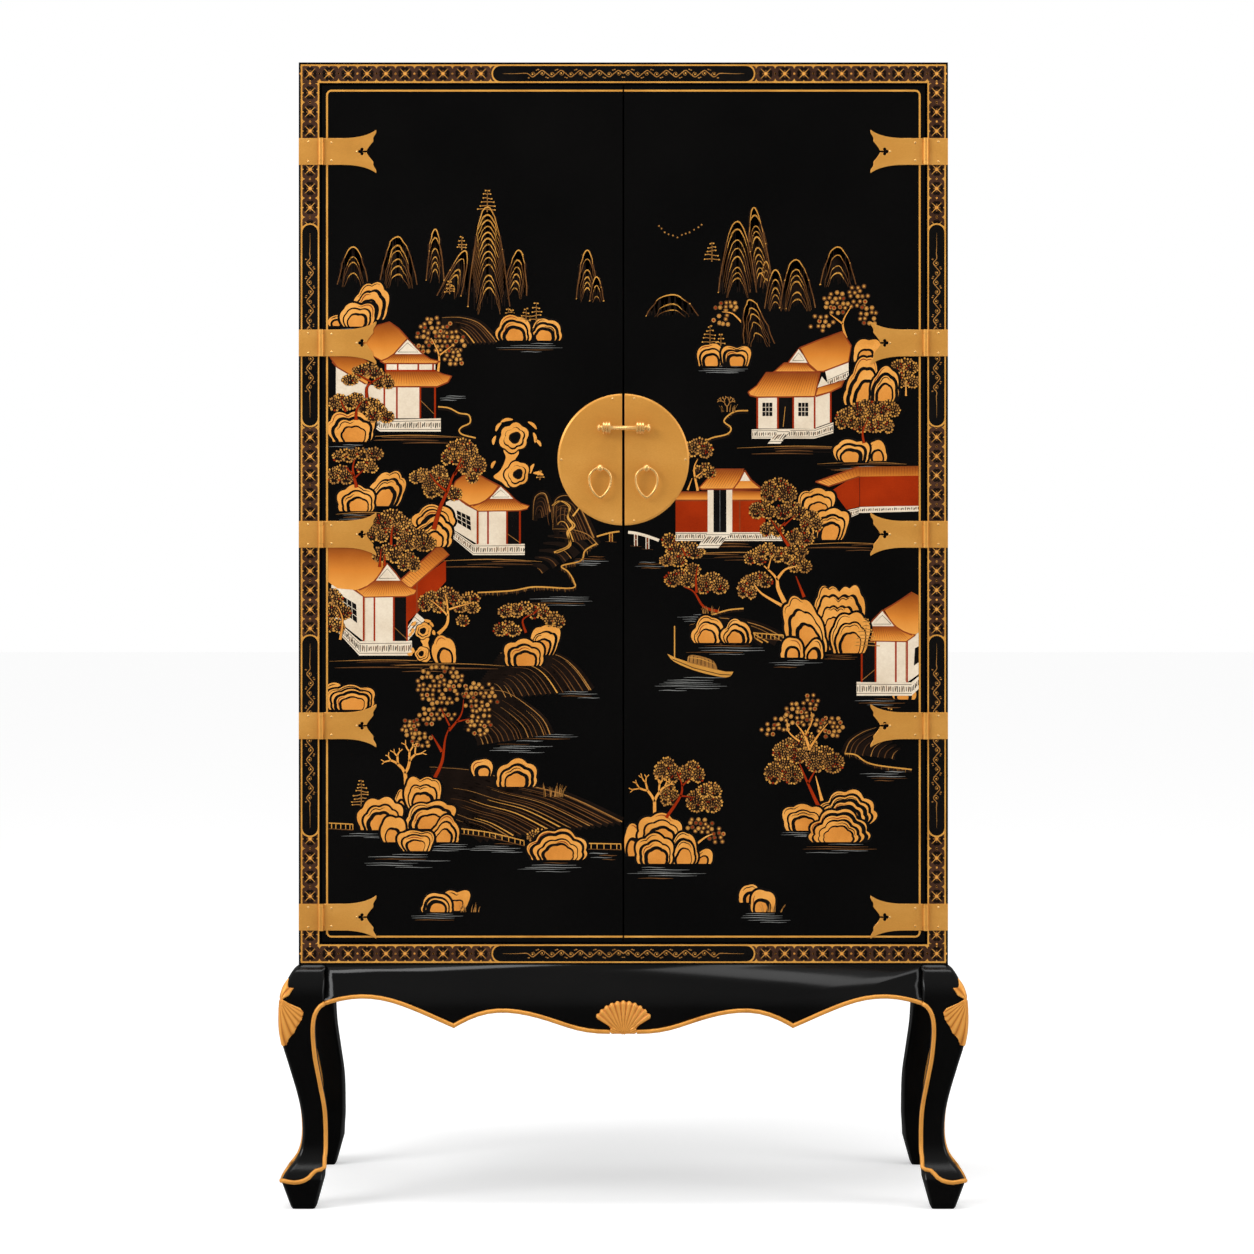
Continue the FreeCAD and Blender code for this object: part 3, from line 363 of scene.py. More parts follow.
# %% [markdown]
# Smooth shading for the carved and turned parts
#
# A CAD mesh is loose flat triangles, which looks faceted on a glossy cabriole leg. The mesh of a
# node must stay as it is, so each curved part gets a copy whose loose corners are merged, and
# whose faces are shaded smooth except across real edges. The copy then stands for the node.

# %% A smooth copy of a curved part
SHARP = math.radians(32)
MERGE = 0.005


def reshape(mesh, change):
    """Makes a change to a mesh in bmesh."""
    work = bmesh.new()
    work.from_mesh(mesh)
    change(work)
    work.to_mesh(mesh)
    work.free()


def merge(work):
    """Joins loose corners that lie in the same place."""
    bmesh.ops.remove_doubles(work, verts=work.verts, dist=MERGE * MM)


def evaluated(obj):
    """Gives the object the mesh that its modifiers make, and takes them away."""
    mesh = bpy.data.meshes.new_from_object(obj.evaluated_get(bpy.context.evaluated_depsgraph_get()))
    obj.modifiers.clear()
    obj.data = mesh
    return mesh


def stand_in(node, suffix, *changes):
    """An object with a copy of a CAD node's mesh, merged, changed and shaded smooth up to real edges."""
    mesh = nodes[node].data.copy()
    for change in (merge, *changes):
        reshape(mesh, change)
    mesh.shade_smooth()
    mesh.set_sharp_from_angle(angle=SHARP)
    return linked(node + suffix, mesh)


def put_in_place(obj, node):
    """Lets an object stand for a CAD node and move with it."""
    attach(obj, body_of(nodes[node])[0])
    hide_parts(node)
    print(obj.name, len(obj.data.polygons), "faces")


CURVED = """leg_front_left leg_front_right leg_rear_left leg_rear_right apron_front apron_left apron_right
bead_front bead_left bead_right bolt pull_post_left pull_post_right pull_ring_left pull_ring_right
staple_left staple_right door_nails_left door_nails_right hinge_pins leaf_nails""".split()
for name in CURVED:
    put_in_place(stand_in(name, "_smooth"), name)

# %% [markdown]
# Eased edges on the brass
#
# Cut and filed brass has a fine eased edge, and that edge is what catches the light: a pale line
# round the lock plate and along the top of each strap. The plates and hinge leaves get one of about
# half a millimetre. Their big level faces are shaded flat, so that they reflect as one plane.

# %% Brass with eased edges
EASE, RIM_SIZE, RIM_TURN = 0.45, 30, math.radians(50)
LEVEL = 0.999


def outer_rims(work):
    """The edges round the front of a plate, without those of its small holes."""
    rims = {edge for edge in work.edges if len(edge.link_faces) == 2 and edge.calc_face_angle(0) > RIM_TURN
            and min(face.normal.y for face in edge.link_faces) < -0.7}
    chosen = []
    while rims:
        group, waiting = [], [rims.pop()]
        while waiting:
            edge = waiting.pop()
            group.append(edge)
            for other in {e for vertex in edge.verts for e in vertex.link_edges} & rims:
                rims.discard(other)
                waiting.append(other)
        points = [vertex.co for edge in group for vertex in edge.verts]
        size = [max(p[k] for p in points) - min(p[k] for p in points) for k in (0, 2)]
        if max(size) > RIM_SIZE * MM:
            chosen += group
    return chosen


def ease(work):
    """Rounds the outer rims."""
    bmesh.ops.bevel(work, geom=outer_rims(work), offset=EASE * MM, segments=2, profile=0.5, affect="EDGES")


for name in [n for n in nodes if n.startswith(("strap_", "lock_plate", "frame_leaves"))]:
    obj = stand_in(name, "_eased", ease)
    for face in obj.data.polygons:
        face.use_smooth = max(map(abs, face.normal)) < LEVEL
    put_in_place(obj, name)

# %% [markdown]
# Carving
#
# The shell and the knee leaves are fans of flutes. Each is rebuilt from small cells, and then a point is
# sunk by how far it is from the nearest ridge, and its colour is darkened the same way as painted shade
# in the grooves. A ridge is a direction from the fan's root, so one angle decides both.

# %% Carved fans
CELL, GROOVE = 0.9, 0.9
SHELL_PITCH, LEAF_PITCH_ANGLE, LOBE_PITCH = 10.8, 9.5, 50
LEAF_ROOT = 0.70
shell_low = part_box("apron_shell")[0].z
leaf_low, leaf_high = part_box("knee_leaf_left")
leaf_root = leaf_low.z + LEAF_ROOT * (leaf_high.z - leaf_low.z)


def carve(node, fan):
    """A finer copy of a carving with flutes. fan gives a point's height on its flute, from 0 to 1."""
    obj = stand_in(node, "_carved")
    cells = obj.modifiers.new("cells", "REMESH")
    cells.mode = "VOXEL"
    cells.voxel_size = CELL * MM
    mesh = evaluated(obj)
    shade = mesh.attributes.new("shade", "FLOAT", "POINT")
    moves = []
    for vertex in mesh.vertices:
        high = fan(vertex.co)
        facing = max(0.0, -vertex.normal.y, abs(vertex.normal.x) if abs(vertex.co.x) > 0.1 else 0.0)
        moves.append(vertex.normal * (GROOVE * MM * (high - 1) * facing))
        # Painted shade: the colour darkens towards the bottom of each groove, by the same height that sinks it
        shade.data[vertex.index].value = 0.1 + 0.9 * high
    for vertex, move in zip(mesh.vertices, moves):
        vertex.co += move
    mesh.shade_smooth()
    mesh.materials.clear()
    mesh.materials.append(finishes["carved_gilt"])
    put_in_place(obj, node)


def flute(angle, pitch):
    """Height on a row of round ridges with narrow grooves, pitch degrees apart."""
    return abs(math.cos(math.pi * math.degrees(angle) / pitch)) ** 0.6


def on_shell(point):
    """Flutes that spread from the middle of the shell's foot."""
    return flute(math.atan2(point.x, max(point.z - shell_low, 0.001)), SHELL_PITCH)


def on_leaf(point):
    """Flutes below the leaf's root and two lobes above it, alike on both sides of the leg's corner."""
    across = (case_half * MM - abs(point.x) + frame_face - point.y) / math.sqrt(2)
    rise = point.z - leaf_root
    return flute(math.atan2(abs(across), abs(rise) + 0.001), LOBE_PITCH if rise > 0 else LEAF_PITCH_ANGLE)


for name, fan_of in (("apron_shell", on_shell), ("knee_leaf_left", on_leaf), ("knee_leaf_right", on_leaf)):
    carve(name, fan_of)

# %% [markdown]
# Drawing in thin relief
#
# On the real doors each rock, roof and leaf is built up with lacquer and gold size, a fraction of a
# millimetre high. An image texture would be flat and isn't allowed here, and a shader could hardly
# place a pavilion. So every mark is a closed prism that stands a few hundredths to a few tenths of a
# millimetre proud, and a painter's order decides which mark is in front: later layers stand a little
# prouder. All the marks of one paint on one door are collected into one mesh.

# %% Paints
paints = {
    "gold": finish("gold_paint", [(0.3, (0.56, 0.24, 0.038)), (0.55, (0.74, 0.35, 0.062)), (0.75, (0.86, 0.45, 0.10))],
                   (0.36, 0.5), metallic=0.2, specular=0.2, broad=22, fine=800, fine_share=0.4),
    "rock": finish("rock_gold", [(0.3, (0.66, 0.255, 0.036)), (0.5, (0.80, 0.335, 0.057)), (0.72, (0.89, 0.43, 0.10))],
                   (0.4, 0.55), metallic=0.1, specular=0.2, broad=26, fine_share=0.35),
    "amber": finish("rock_amber", [(0.3, (0.60, 0.205, 0.024)), (0.5, (0.71, 0.265, 0.038)),
                                   (0.72, (0.80, 0.33, 0.06))],
                    (0.4, 0.55), metallic=0.1, specular=0.2, broad=26, fine_share=0.35),
    "leaf": finish("leaf_gold", [(0.3, (0.24, 0.098, 0.017)), (0.5, (0.40, 0.175, 0.036)), (0.75, (0.58, 0.28, 0.07))],
                   (0.4, 0.55), metallic=0.15, specular=0.2, broad=40, fine=600, fine_share=0.45),
    "dim": finish("worn_gold", [(0.3, (0.075, 0.026, 0.006)), (0.5, (0.15, 0.056, 0.012)),
                                (0.75, (0.28, 0.115, 0.028))],
                  (0.4, 0.55), metallic=0.15, specular=0.2, broad=24, fine=500, fine_share=0.4),
    "roof": finish("roof_orange", [(0.0, (0.17, 0.028, 0.0015)), (0.32, (0.42, 0.105, 0.007)),
                                   (0.62, (0.68, 0.225, 0.025)), (1.0, (0.86, 0.37, 0.07))],
                   (0.36, 0.5), metallic=0.1, specular=0.2, broad=30, fine=420, shaded=0.8),
    "russet": finish("roof_edge_russet", [(0.3, (0.17, 0.024, 0.003)), (0.7, (0.31, 0.05, 0.006))],
                     (0.36, 0.5), specular=0.15, broad=30, fine=420),
    "red": finish("vermilion", [(0.3, (0.23, 0.0145, 0.0005)), (0.7, (0.36, 0.027, 0.0009))],
                  (0.34, 0.48), specular=0.06, broad=20, fine=420),
    "brown": finish("border_brown", [(0.3, (0.030, 0.010, 0.004)), (0.7, (0.075, 0.026, 0.009))],
                    (0.34, 0.5), specular=0.3, broad=30, fine=420),
    "umber": finish("dark_umber", [(0.3, (0.005, 0.0024, 0.0012)), (0.7, (0.014, 0.0055, 0.002))],
                    (0.34, 0.5), specular=0.16, broad=30, fine=420),
    "cream": finish("cream_white", [(0.3, (0.64, 0.51, 0.36)), (0.7, (0.82, 0.71, 0.55))],
                    (0.4, 0.55), specular=0.2, broad=20, fine=360),
    "ink": finish("black_line", [(0.3, (0.0028, 0.0025, 0.0023)), (0.7, (0.006, 0.0045, 0.0038))],
                  (0.22, 0.34), specular=0.22, broad=20, fine=300),
    "water": finish("silver_grey", [(0.3, (0.085, 0.088, 0.085)), (0.7, (0.27, 0.27, 0.255))],
                    (0.4, 0.55), metallic=0.1, specular=0.2, broad=30, fine=400),
}
print("paints:", sorted(paints))

# %% Helpers for outlines


def turn_of(outline):
    """Twice the outline's area, above zero if it runs anticlockwise."""
    return sum(x0 * z1 - x1 * z0 for (x0, z0), (x1, z1) in zip(outline, outline[1:] + outline[:1]))


def cut_to(outline, window):
    """The outline cut to a window of lowest x, highest x, lowest z and highest z."""
    for side, limit in enumerate(window or ()):
        axis, sign = side // 2, 1 - side % 2 * 2
        kept = []
        for p, q in zip(outline, outline[1:] + outline[:1]):
            p_in, q_in = sign * (p[axis] - limit) >= 0, sign * (q[axis] - limit) >= 0
            if p_in:
                kept.append(p)
            if p_in != q_in:
                share = (limit - p[axis]) / (q[axis] - p[axis])
                kept.append((p[0] + share * (q[0] - p[0]), p[1] + share * (q[1] - p[1])))
        outline = kept
        if len(outline) < 3:
            return []
    return outline


def inside(points, window):
    """The first run of points that lies in the window."""
    if window is None:
        return points
    run = []
    for x, z in points:
        if window[0] <= x <= window[1] and window[2] <= z <= window[3]:
            run.append((x, z))
        elif run:
            break
    return run


def smooth(points, steps=4, closed=False):
    """More points on a smooth line through the given ones."""
    count = len(points)
    out = []
    for span in range(count if closed else count - 1):
        p, q, r, s = (points[(span + k) % count if closed else min(max(span + k, 0), count - 1)]
                      for k in (-1, 0, 1, 2))
        for t in (step / steps for step in range(steps)):
            out.append(tuple(0.5 * (2 * q[k] + (r[k] - p[k]) * t + (2 * p[k] - 5 * q[k] + 4 * r[k] - s[k]) * t * t
                                    + (3 * q[k] - p[k] - 3 * r[k] + s[k]) * t ** 3) for k in (0, 1)))
    return out if closed else out + [points[-1]]


def between(p, q, share):
    """A point part of the way from p to q."""
    return p[0] + (q[0] - p[0]) * share, p[1] + (q[1] - p[1]) * share


def band(x0, x1, z0, z1):
    """An upright rectangle."""
    return [(x0, z0), (x1, z0), (x1, z1), (x0, z1)]


# %% A sheet of marks
# Height of a layer and of the lowest one, how deep a mark sinks in, and how far a shade reaches
LAYER, FIRST_LIFT, SINK = 0.011, 0.05, 0.1
SHADE_REACH = 0.92


class Marks:
    """Thin prisms on one flat face, kept apart by paint. x and z are in millimetres."""

    def __init__(self, label, body, face_y, slot, window=None):
        self.label, self.body, self.face_y, self.slot, self.window = label, body, face_y, slot, window
        self.made = {}
        self.shades = {}

    def sheet(self, paint, layer):
        """The vertices and faces of a paint, how many vertices it has, and the top and base of a layer."""
        vertices, faces = self.made.setdefault(paint, ([], []))
        return vertices, faces, len(vertices), self.face_y - (FIRST_LIFT + LAYER * layer) * MM, self.face_y + SINK * MM

    def area(self, outline, paint, layer, shaded=False):
        """A filled outline, cut to the window. Shaded, it runs from dark at the top to light lower down."""
        outline = cut_to(outline, self.window)
        count = len(outline)
        if count < 3:
            return
        if turn_of(outline) < 0:
            outline = outline[::-1]
        vertices, faces, first, top, base = self.sheet(paint, layer)
        vertices += [(x * MM, y, z * MM) for y in (top, base) for x, z in outline]
        if not shaded:
            faces.append(tuple(range(first, first + count)))
        faces.append(tuple(range(first + 2 * count - 1, first + count - 1, -1)))
        rim = [(first + at, first + (at + 1) % count) for at in range(count)]
        faces += [(a, a + count, b + count, b) for a, b in rim]
        if not shaded:
            return
        middle = [sum(p[k] for p in outline) / count for k in (0, 1)]
        vertices.append((middle[0] * MM, top, middle[1] * MM))
        faces += [(a, b, first + 2 * count) for a, b in rim]
        heights = [p[1] for p in outline]
        high, reach = max(heights), SHADE_REACH * (max(heights) - min(heights))
        for at, height in enumerate(heights + heights + [middle[1]]):
            self.shades.setdefault(paint, {})[first + at] = min(1.0, (high - height) / reach)

    def stroke(self, points, paint, layer, width, ends="both"):
        """A brush stroke through points. Its ends are both, first, last or none: which of them run thin."""
        points = inside(points, self.window)
        count = len(points)
        if count < 2:
            return
        vertices, faces, first, top, base = self.sheet(paint, layer)
        for at, (x, z) in enumerate(points):
            (x0, z0), (x1, z1) = points[max(at - 1, 0)], points[min(at + 1, count - 1)]
            length = math.hypot(x1 - x0, z1 - z0) or 1
            share = at / (count - 1)
            half = width / 2
            if ends == "both":
                half *= 0.25 + 0.75 * math.sin(math.pi * share)
            elif ends != "none":
                half *= 1 - 0.8 * (share if ends == "last" else 1 - share)
            side_x, side_z = -(z1 - z0) / length * half, (x1 - x0) / length * half
            for y in (top, base):
                vertices += [((x + side_x) * MM, y, (z + side_z) * MM), ((x - side_x) * MM, y, (z - side_z) * MM)]
        last = first + 4 * (count - 1)
        for a in range(first, last, 4):
            b = a + 4
            faces += [(a, a + 1, b + 1, b), (a + 2, b + 2, b + 3, a + 3), (a + 1, a + 3, b + 3, b + 1),
                      (a, b, b + 2, a + 2)]
        faces += [(first, first + 2, first + 3, first + 1), (last, last + 1, last + 3, last + 2)]

    def line(self, points, paint, layer, width):
        """A stroke of even width."""
        self.stroke(points, paint, layer, width, ends="none")

    def dot(self, x, z, radius, paint, layer, corners=6, tall=1.0, turn=0.0):
        """A small round or long mark."""
        rim = [2 * math.pi * k / corners for k in range(corners)]
        cos, sin = math.cos(turn), math.sin(turn)
        points = [(radius * math.cos(a), radius * tall * math.sin(a)) for a in rim]
        self.area([(x + u * cos - v * sin, z + u * sin + v * cos) for u, v in points], paint, layer)

    def finish(self):
        """Turns what was drawn into one piece for each paint."""
        for paint, (vertices, faces) in sorted(self.made.items()):
            obj = make_object(self.label + "_" + paint, vertices, faces)
            obj.data.materials.append(paints[paint])
            if paint in self.shades:
                shade = obj.data.attributes.new("shade", "FLOAT", "POINT")
                for vertex, value in self.shades[paint].items():
                    shade.data[vertex].value = value
            hand_over(obj, self.body)


def hand_over(obj, body):
    """Lets a piece ride on a body and prints how many faces it has."""
    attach(obj, body)
    print(obj.name, len(obj.data.polygons), "faces")


# %% [markdown]
# The painted border
#
# The frame round the doors carries a running pattern on dark brown between two thin gold lines: a
# gold star with four thin rays in each cell, dark petals, and gold dots and points between the cells.
# In the middle of each side a long black cartouche holds a thin gold vine. The lines are plain
# strips. The pattern repeats well over a hundred times along straight runs, which is a job for
# Geometry Nodes.

# %% Lines and ground of the border
# From the case's outer edge to the middle of each gold line, and the width of the lines
OUTER_LINE, INNER_LINE, LINE = 4.4, 31.0, 2.4
BAND_MIDDLE = (OUTER_LINE + INNER_LINE) / 2
BAND_HALF = (INNER_LINE - OUTER_LINE) / 2
border = Marks("border", "root", frame_face, "gilt")


def ring_at(by, width, paint, layer):
    """A strip round the case's front, its middle drawn in by a distance."""
    x0, x1, z0, z1 = -case_half + by, case_half - by, case_low + by, case_high - by
    half = width / 2
    for piece in (band(x0 - half, x1 + half, z1 - half, z1 + half), band(x0 - half, x1 + half, z0 - half, z0 + half),
                  band(x0 - half, x0 + half, z0 + half, z1 - half), band(x1 - half, x1 + half, z0 + half, z1 - half)):
        border.area(piece, paint, layer)


ring_at(OUTER_LINE, LINE, "gold", 2)
ring_at(INNER_LINE, LINE, "gold", 2)
ring_at(BAND_MIDDLE, 2 * BAND_HALF - LINE, "brown", 0)
print("band middle", BAND_MIDDLE, "half", BAND_HALF)

# %% [markdown]
# Runs of cells
#
# One cell of the pattern is drawn once for each paint. A node tree then takes straight edges,
# divides each into steps as near to the pitch as fits, and sets a cell on every step, turned to
# follow the run. Realize Instances makes it plain mesh again, so that it can be exported.

# %% A node tree that sets cells along a run


def cells_along_tree():
    """The tree: its inputs are the cell, the pitch and the paint."""
    tree = bpy.data.node_groups.new("cells_along", "GeometryNodeTree")
    for name, way, kind in (("Run", "INPUT", "Geometry"), ("Cell", "INPUT", "Object"), ("Pitch", "INPUT", "Float"),
                            ("Paint", "INPUT", "Material"), ("Pattern", "OUTPUT", "Geometry")):
        tree.interface.new_socket(name, in_out=way, socket_type="NodeSocket" + kind)
    add = nodes_of(tree)
    given = add("NodeGroupInput")
    curve = add("GeometryNodeMeshToCurve", {0: given.outputs["Run"]})
    steps = add("GeometryNodeResampleCurve", {"Curve": curve, "Length": given.outputs["Pitch"]}, mode="LENGTH")
    along = add("GeometryNodeInputTangent")
    turn = add("FunctionNodeAlignRotationToVector", {"Vector": along}, axis="X", pivot_axis="Y")
    cell = add("GeometryNodeObjectInfo", {"Object": given.outputs["Cell"]})
    spread = add("GeometryNodeInstanceOnPoints",
                 {"Points": steps, "Instance": cell.outputs["Geometry"], "Rotation": turn})
    real = add("GeometryNodeRealizeInstances", {0: spread})
    painted = add("GeometryNodeSetMaterial", {"Geometry": real, "Material": given.outputs["Paint"]})
    add("NodeGroupOutput", {"Pattern": painted})
    return tree


def grow_along(host, tree, inputs):
    """Gives the host the plain mesh of what a tree makes on it."""
    modifier = host.modifiers.new("pattern", "NODES")
    modifier.node_group = tree
    for item in tree.interface.items_tree:
        if item.in_out == "INPUT" and item.name in inputs:
            modifier[item.identifier] = inputs[item.name]
    evaluated(host)


cells_along = cells_along_tree()
print("tree inputs:", [item.name for item in cells_along.interface.items_tree if item.in_out == "INPUT"])

# %% One cell, drawn at the origin
PITCH = 29.7
PETAL_OUT, PETAL_ASIDE, PETAL, RAY_LONG = 7.4, 2.4, 3.3, 11.2
STAR = ((-0.8, 1.6), (0, 3.6), (0.8, 1.6))
cell_marks = Marks("cell", "root", 0, "gilt")
for angle in (quarter * math.pi / 2 for quarter in range(4)):
    cos, sin = math.cos(angle), math.sin(angle)
    x, z = PETAL_OUT * cos, PETAL_OUT * sin
    for off in (-PETAL_ASIDE, PETAL_ASIDE):
        cell_marks.dot(x - off * sin, z + off * cos, PETAL, "umber", 2, corners=8)
    cell_marks.dot(x * 0.66, z * 0.66, 1.3, "dim", 3, corners=5)
    ray = angle + math.pi / 4
    tip = (RAY_LONG * math.cos(ray), RAY_LONG * math.sin(ray))
    cell_marks.stroke([(0, 0), (tip[0] * 0.4, tip[1] * 0.4), tip], "gold", 4, 2.0, ends="last")
    cell_marks.area([(0, 0)] + [(r * math.cos(angle + a), r * math.sin(angle + a)) for a, r in STAR], "rock", 5)
FEET = [(edge, edge * (BAND_HALF - LINE / 2 + 0.2)) for edge in (-1, 1)]
for side in (-1, 1):
    middle = side * PITCH / 2
    cell_marks.dot(middle, 0, 1.7, "rock", 4, corners=7)
    for edge, foot in FEET:
        cell_marks.area([(middle - side * 4.4, foot), (middle - side * 1.4, foot - edge * 1.5),
                         (middle, foot - edge * 4.6), (middle, foot)], "gold", 3)
for edge, foot in FEET:
    cell_marks.area([(-1.5, foot), (0, foot - edge * 2.6), (1.5, foot)], "gold", 3)
print("cell paints:", sorted(cell_marks.made))

# %% Runs between the cartouches
# The cartouches' middles and half lengths along each side
ACROSS = [(0.0, 205.0)]
UPRIGHT = [(1387.0, 158.0), (742.0, 157.0)]


def runs_on(start, end, count, cartouches):
    """Stretches of whole steps between start and end that stay clear of the cartouches."""
    step = (end - start) / count
    runs, first, last = [], None, None
    for k in range(count + 2):
        place = start + step * k
        free = k <= count and all(abs(place - middle) > half - step * 0.45 for middle, half in cartouches)
        if free and first is None:
            first = place
        if not free and first is not None:
            runs.append((first, last))
            first = None
        last = place
    return runs


left, right = -case_half + BAND_MIDDLE, case_half - BAND_MIDDLE
low, high = case_low + BAND_MIDDLE, case_high - BAND_MIDDLE
across_count, upright_count = (round(long / (PITCH + 0.2)) for long in (right - left, high - low))
edges = [((a, z), (b, z)) for z in (low, high) for a, b in runs_on(left, right, across_count, ACROSS)]
step = (high - low) / upright_count
edges += [((x, a), (x, b)) for x in (left, right)
          for a, b in runs_on(low + step, high - step, upright_count - 2, UPRIGHT)]
print("cells across", across_count, "upright", upright_count, "runs", len(edges))

# %% The pattern as plain meshes
run_points = [(x * MM, frame_face, z * MM) for edge in edges for x, z in edge]
run_edges = [(2 * k, 2 * k + 1) for k in range(len(edges))]
for paint, (vertices, faces) in sorted(cell_marks.made.items()):
    cell = make_object("cell_" + paint, vertices, faces)
    pattern = make_object("border_pattern_" + paint, run_points, [], run_edges)
    grow_along(pattern, cells_along, {"Cell": cell, "Pitch": PITCH * MM, "Paint": paints[paint]})
    bpy.data.objects.remove(cell)
    hand_over(pattern, "root")

# %% [markdown]
# Cartouches with a vine
#
# Each cartouche is a black field with round ends and a gold rim. The vine inside has a thin
# straight tail at both ends and curls that swing from side to side between them, each with a
# small leaf. A little function bends it along any side of the frame.

# %% Cartouches
CARTOUCHE_HALF, CARTOUCHE_RIM = 12.2, 2.2
VINE_SWING, VINE_STEP, VINE_TAIL = 5.2, 15.0, 42.0
SPIRAL = [(math.pi * (0.5 + 0.42 * k), 4.6 - 0.62 * k) for k in range(6)]


def cartouche(middle, half, place):
    """A cartouche with its vine. place turns a distance along the side and one across it into x and z."""

    def at(points):
        return [place(middle + u, v) for u, v in points]

    round_end = [(half - CARTOUCHE_HALF * (1 - math.sin(a)), CARTOUCHE_HALF * math.cos(a))
                 for a in (math.pi * k / 10 for k in range(11))]
    outline = round_end + [(-u, -v) for u, v in round_end]
    border.area(at([(u * (1 + CARTOUCHE_RIM / half), v * (1 + CARTOUCHE_RIM / CARTOUCHE_HALF)) for u, v in outline]),
                "gold", 8)
    border.area(at(outline), "ink", 9)
    count = int((half - VINE_TAIL - CARTOUCHE_HALF * 0.5) / VINE_STEP)
    for way in (-1, 1):
        stem = [(way * VINE_STEP * k * 0.5, VINE_SWING * math.sin(math.pi * k / 2)) for k in range(2 * count + 1)]
        end = stem[-1][0]
        border.line(at(smooth(stem + [(end + way * 7, 0.6)])), "leaf", 10, 1.3)
        tail = [(end + way * 7, 0.6), (end + way * VINE_TAIL * 0.5, 0), (end + way * VINE_TAIL * 0.95, 0)]
        border.stroke(at(smooth(tail)), "leaf", 10, 1.1, ends="last")
        for curl in range(count):
            side = 1 if curl % 2 == 0 else -1
            hub_u, hub_v = way * VINE_STEP * (curl + 0.5), side * 0.8
            spiral = [(hub_u + way * r * math.cos(a), hub_v + side * r * math.sin(a)) for a, r in SPIRAL]
            border.stroke(at(smooth(spiral, 3)), "leaf", 11, 1.1, ends="last")
            border.dot(*place(middle + hub_u, hub_v), 1.3, "gold", 12)
            border.dot(*place(middle + hub_u + way * 6.2, side * 6.6), 1.7, "leaf", 11, tall=0.6)
            border.dot(*place(middle + hub_u - way * 6.0, -side * 5.6), 1.4, "leaf", 11, tall=0.6)


for level in (low, high):
    for middle, half in ACROSS:
        cartouche(middle, half, lambda u, v: (u, level + v))
for side in (left, right):
    for middle, half in UPRIGHT:
        cartouche(middle, half, lambda u, v: (side - v, u))
border.finish()

# %% [markdown]
# Gold lines on the doors
#
# A plain gold line runs round each door along its outer, top and bottom edges, and stops at the
# seam, so that the two lines read as one frame when the doors are shut.

# %% Door lines
DOOR_LINE, DOOR_INSET, DOOR_CORNER = 2.9, 8.4, 7.0
SEAM_GAP, LINE_GAP = 0.4, 0.3
QUARTER = [math.pi / 2 * k / 4 for k in range(5)]
doors_art = {}
for side, name in ((-1, "left"), (1, "right")):
    reach = door_edge - DOOR_INSET
    window = sorted((side * (door_seam + SEAM_GAP), side * (reach - DOOR_LINE / 2 - LINE_GAP)))
    doors_art[side] = Marks("art_" + name, "door_" + name, door_face, "door_lacquer",
                            (*window, door_low + DOOR_INSET + DOOR_LINE / 2, door_high - DOOR_INSET - DOOR_LINE / 2))
    lines = Marks("line_" + name, "door_" + name, door_face, "gilt")
    x_out, z_low, z_high = side * reach, door_low + DOOR_INSET, door_high - DOOR_INSET
    path = [(side * door_seam, z_high)]
    path += [(x_out - side * DOOR_CORNER * (1 - math.sin(a)), z_high - DOOR_CORNER * (1 - math.cos(a)))
             for a in QUARTER]
    path += [(x_out - side * DOOR_CORNER * (1 - math.cos(a)), z_low + DOOR_CORNER * (1 - math.sin(a)))
             for a in QUARTER]
    path += [(side * door_seam, z_low)]
    lines.line(path, "gold", 2, DOOR_LINE)
    lines.finish()
print("window of the left door:", [round(v, 1) for v in doors_art[-1].window])

# %% [markdown]
# Gilt lines on the plain boards
#
# The photograph shows only the front. The sides and the insides of the doors get what such cabinets
# often have there: one gilt line round the board, its corners stepped inwards. Two outlines and two
# heights make it a closed flat ring, so it needs no curve and no bevel.

# %% Gilt line frames
LINE_WIDTH, LINE_RISE, LINE_INSET, LINE_STEP = 2.6, 0.12, 44, 26


def gilt_frame(node, wide, tall, place):
    """A gold line round a board of a CAD node. place turns (across, up, out) into a point."""
    u, v, step = wide / 2 - LINE_INSET, tall / 2 - LINE_INSET, LINE_STEP
    corner = [(u, v - step), (u - step, v - step), (u - step, v)]
    path = (corner + [(-a, b) for a, b in corner[::-1]] + [(-a, -b) for a, b in corner]
            + [(a, -b) for a, b in corner[::-1]])
    count = len(path)

    def way(k):
        (a0, b0), (a1, b1) = path[k % count], path[(k + 1) % count]
        long = math.hypot(a1 - a0, b1 - b0)
        return (b1 - b0) / long, (a0 - a1) / long

    rings = [place(a + grow * (way(k - 1)[0] + way(k)[0]), b + grow * (way(k - 1)[1] + way(k)[1]), out)
             for out, grow in ((-SINK, 0), (-SINK, LINE_WIDTH), (LINE_RISE, LINE_WIDTH), (LINE_RISE, 0))
             for k, (a, b) in enumerate(path)]
    sides = [(count * ring, count * ((ring + 1) % 4)) for ring in range(4)]
    faces = [(ring + (k - 1) % count, ring + k, other + k, other + (k - 1) % count)
             for ring, other in sides for k in range(count)]
    obj = make_object(node + "_gilt_line", rings, faces)
    reshape(obj.data, lambda work: bmesh.ops.recalc_face_normals(work, faces=work.faces))
    obj.data.materials.append(paints["gold"])
    hand_over(obj, body_of(nodes[node])[0])


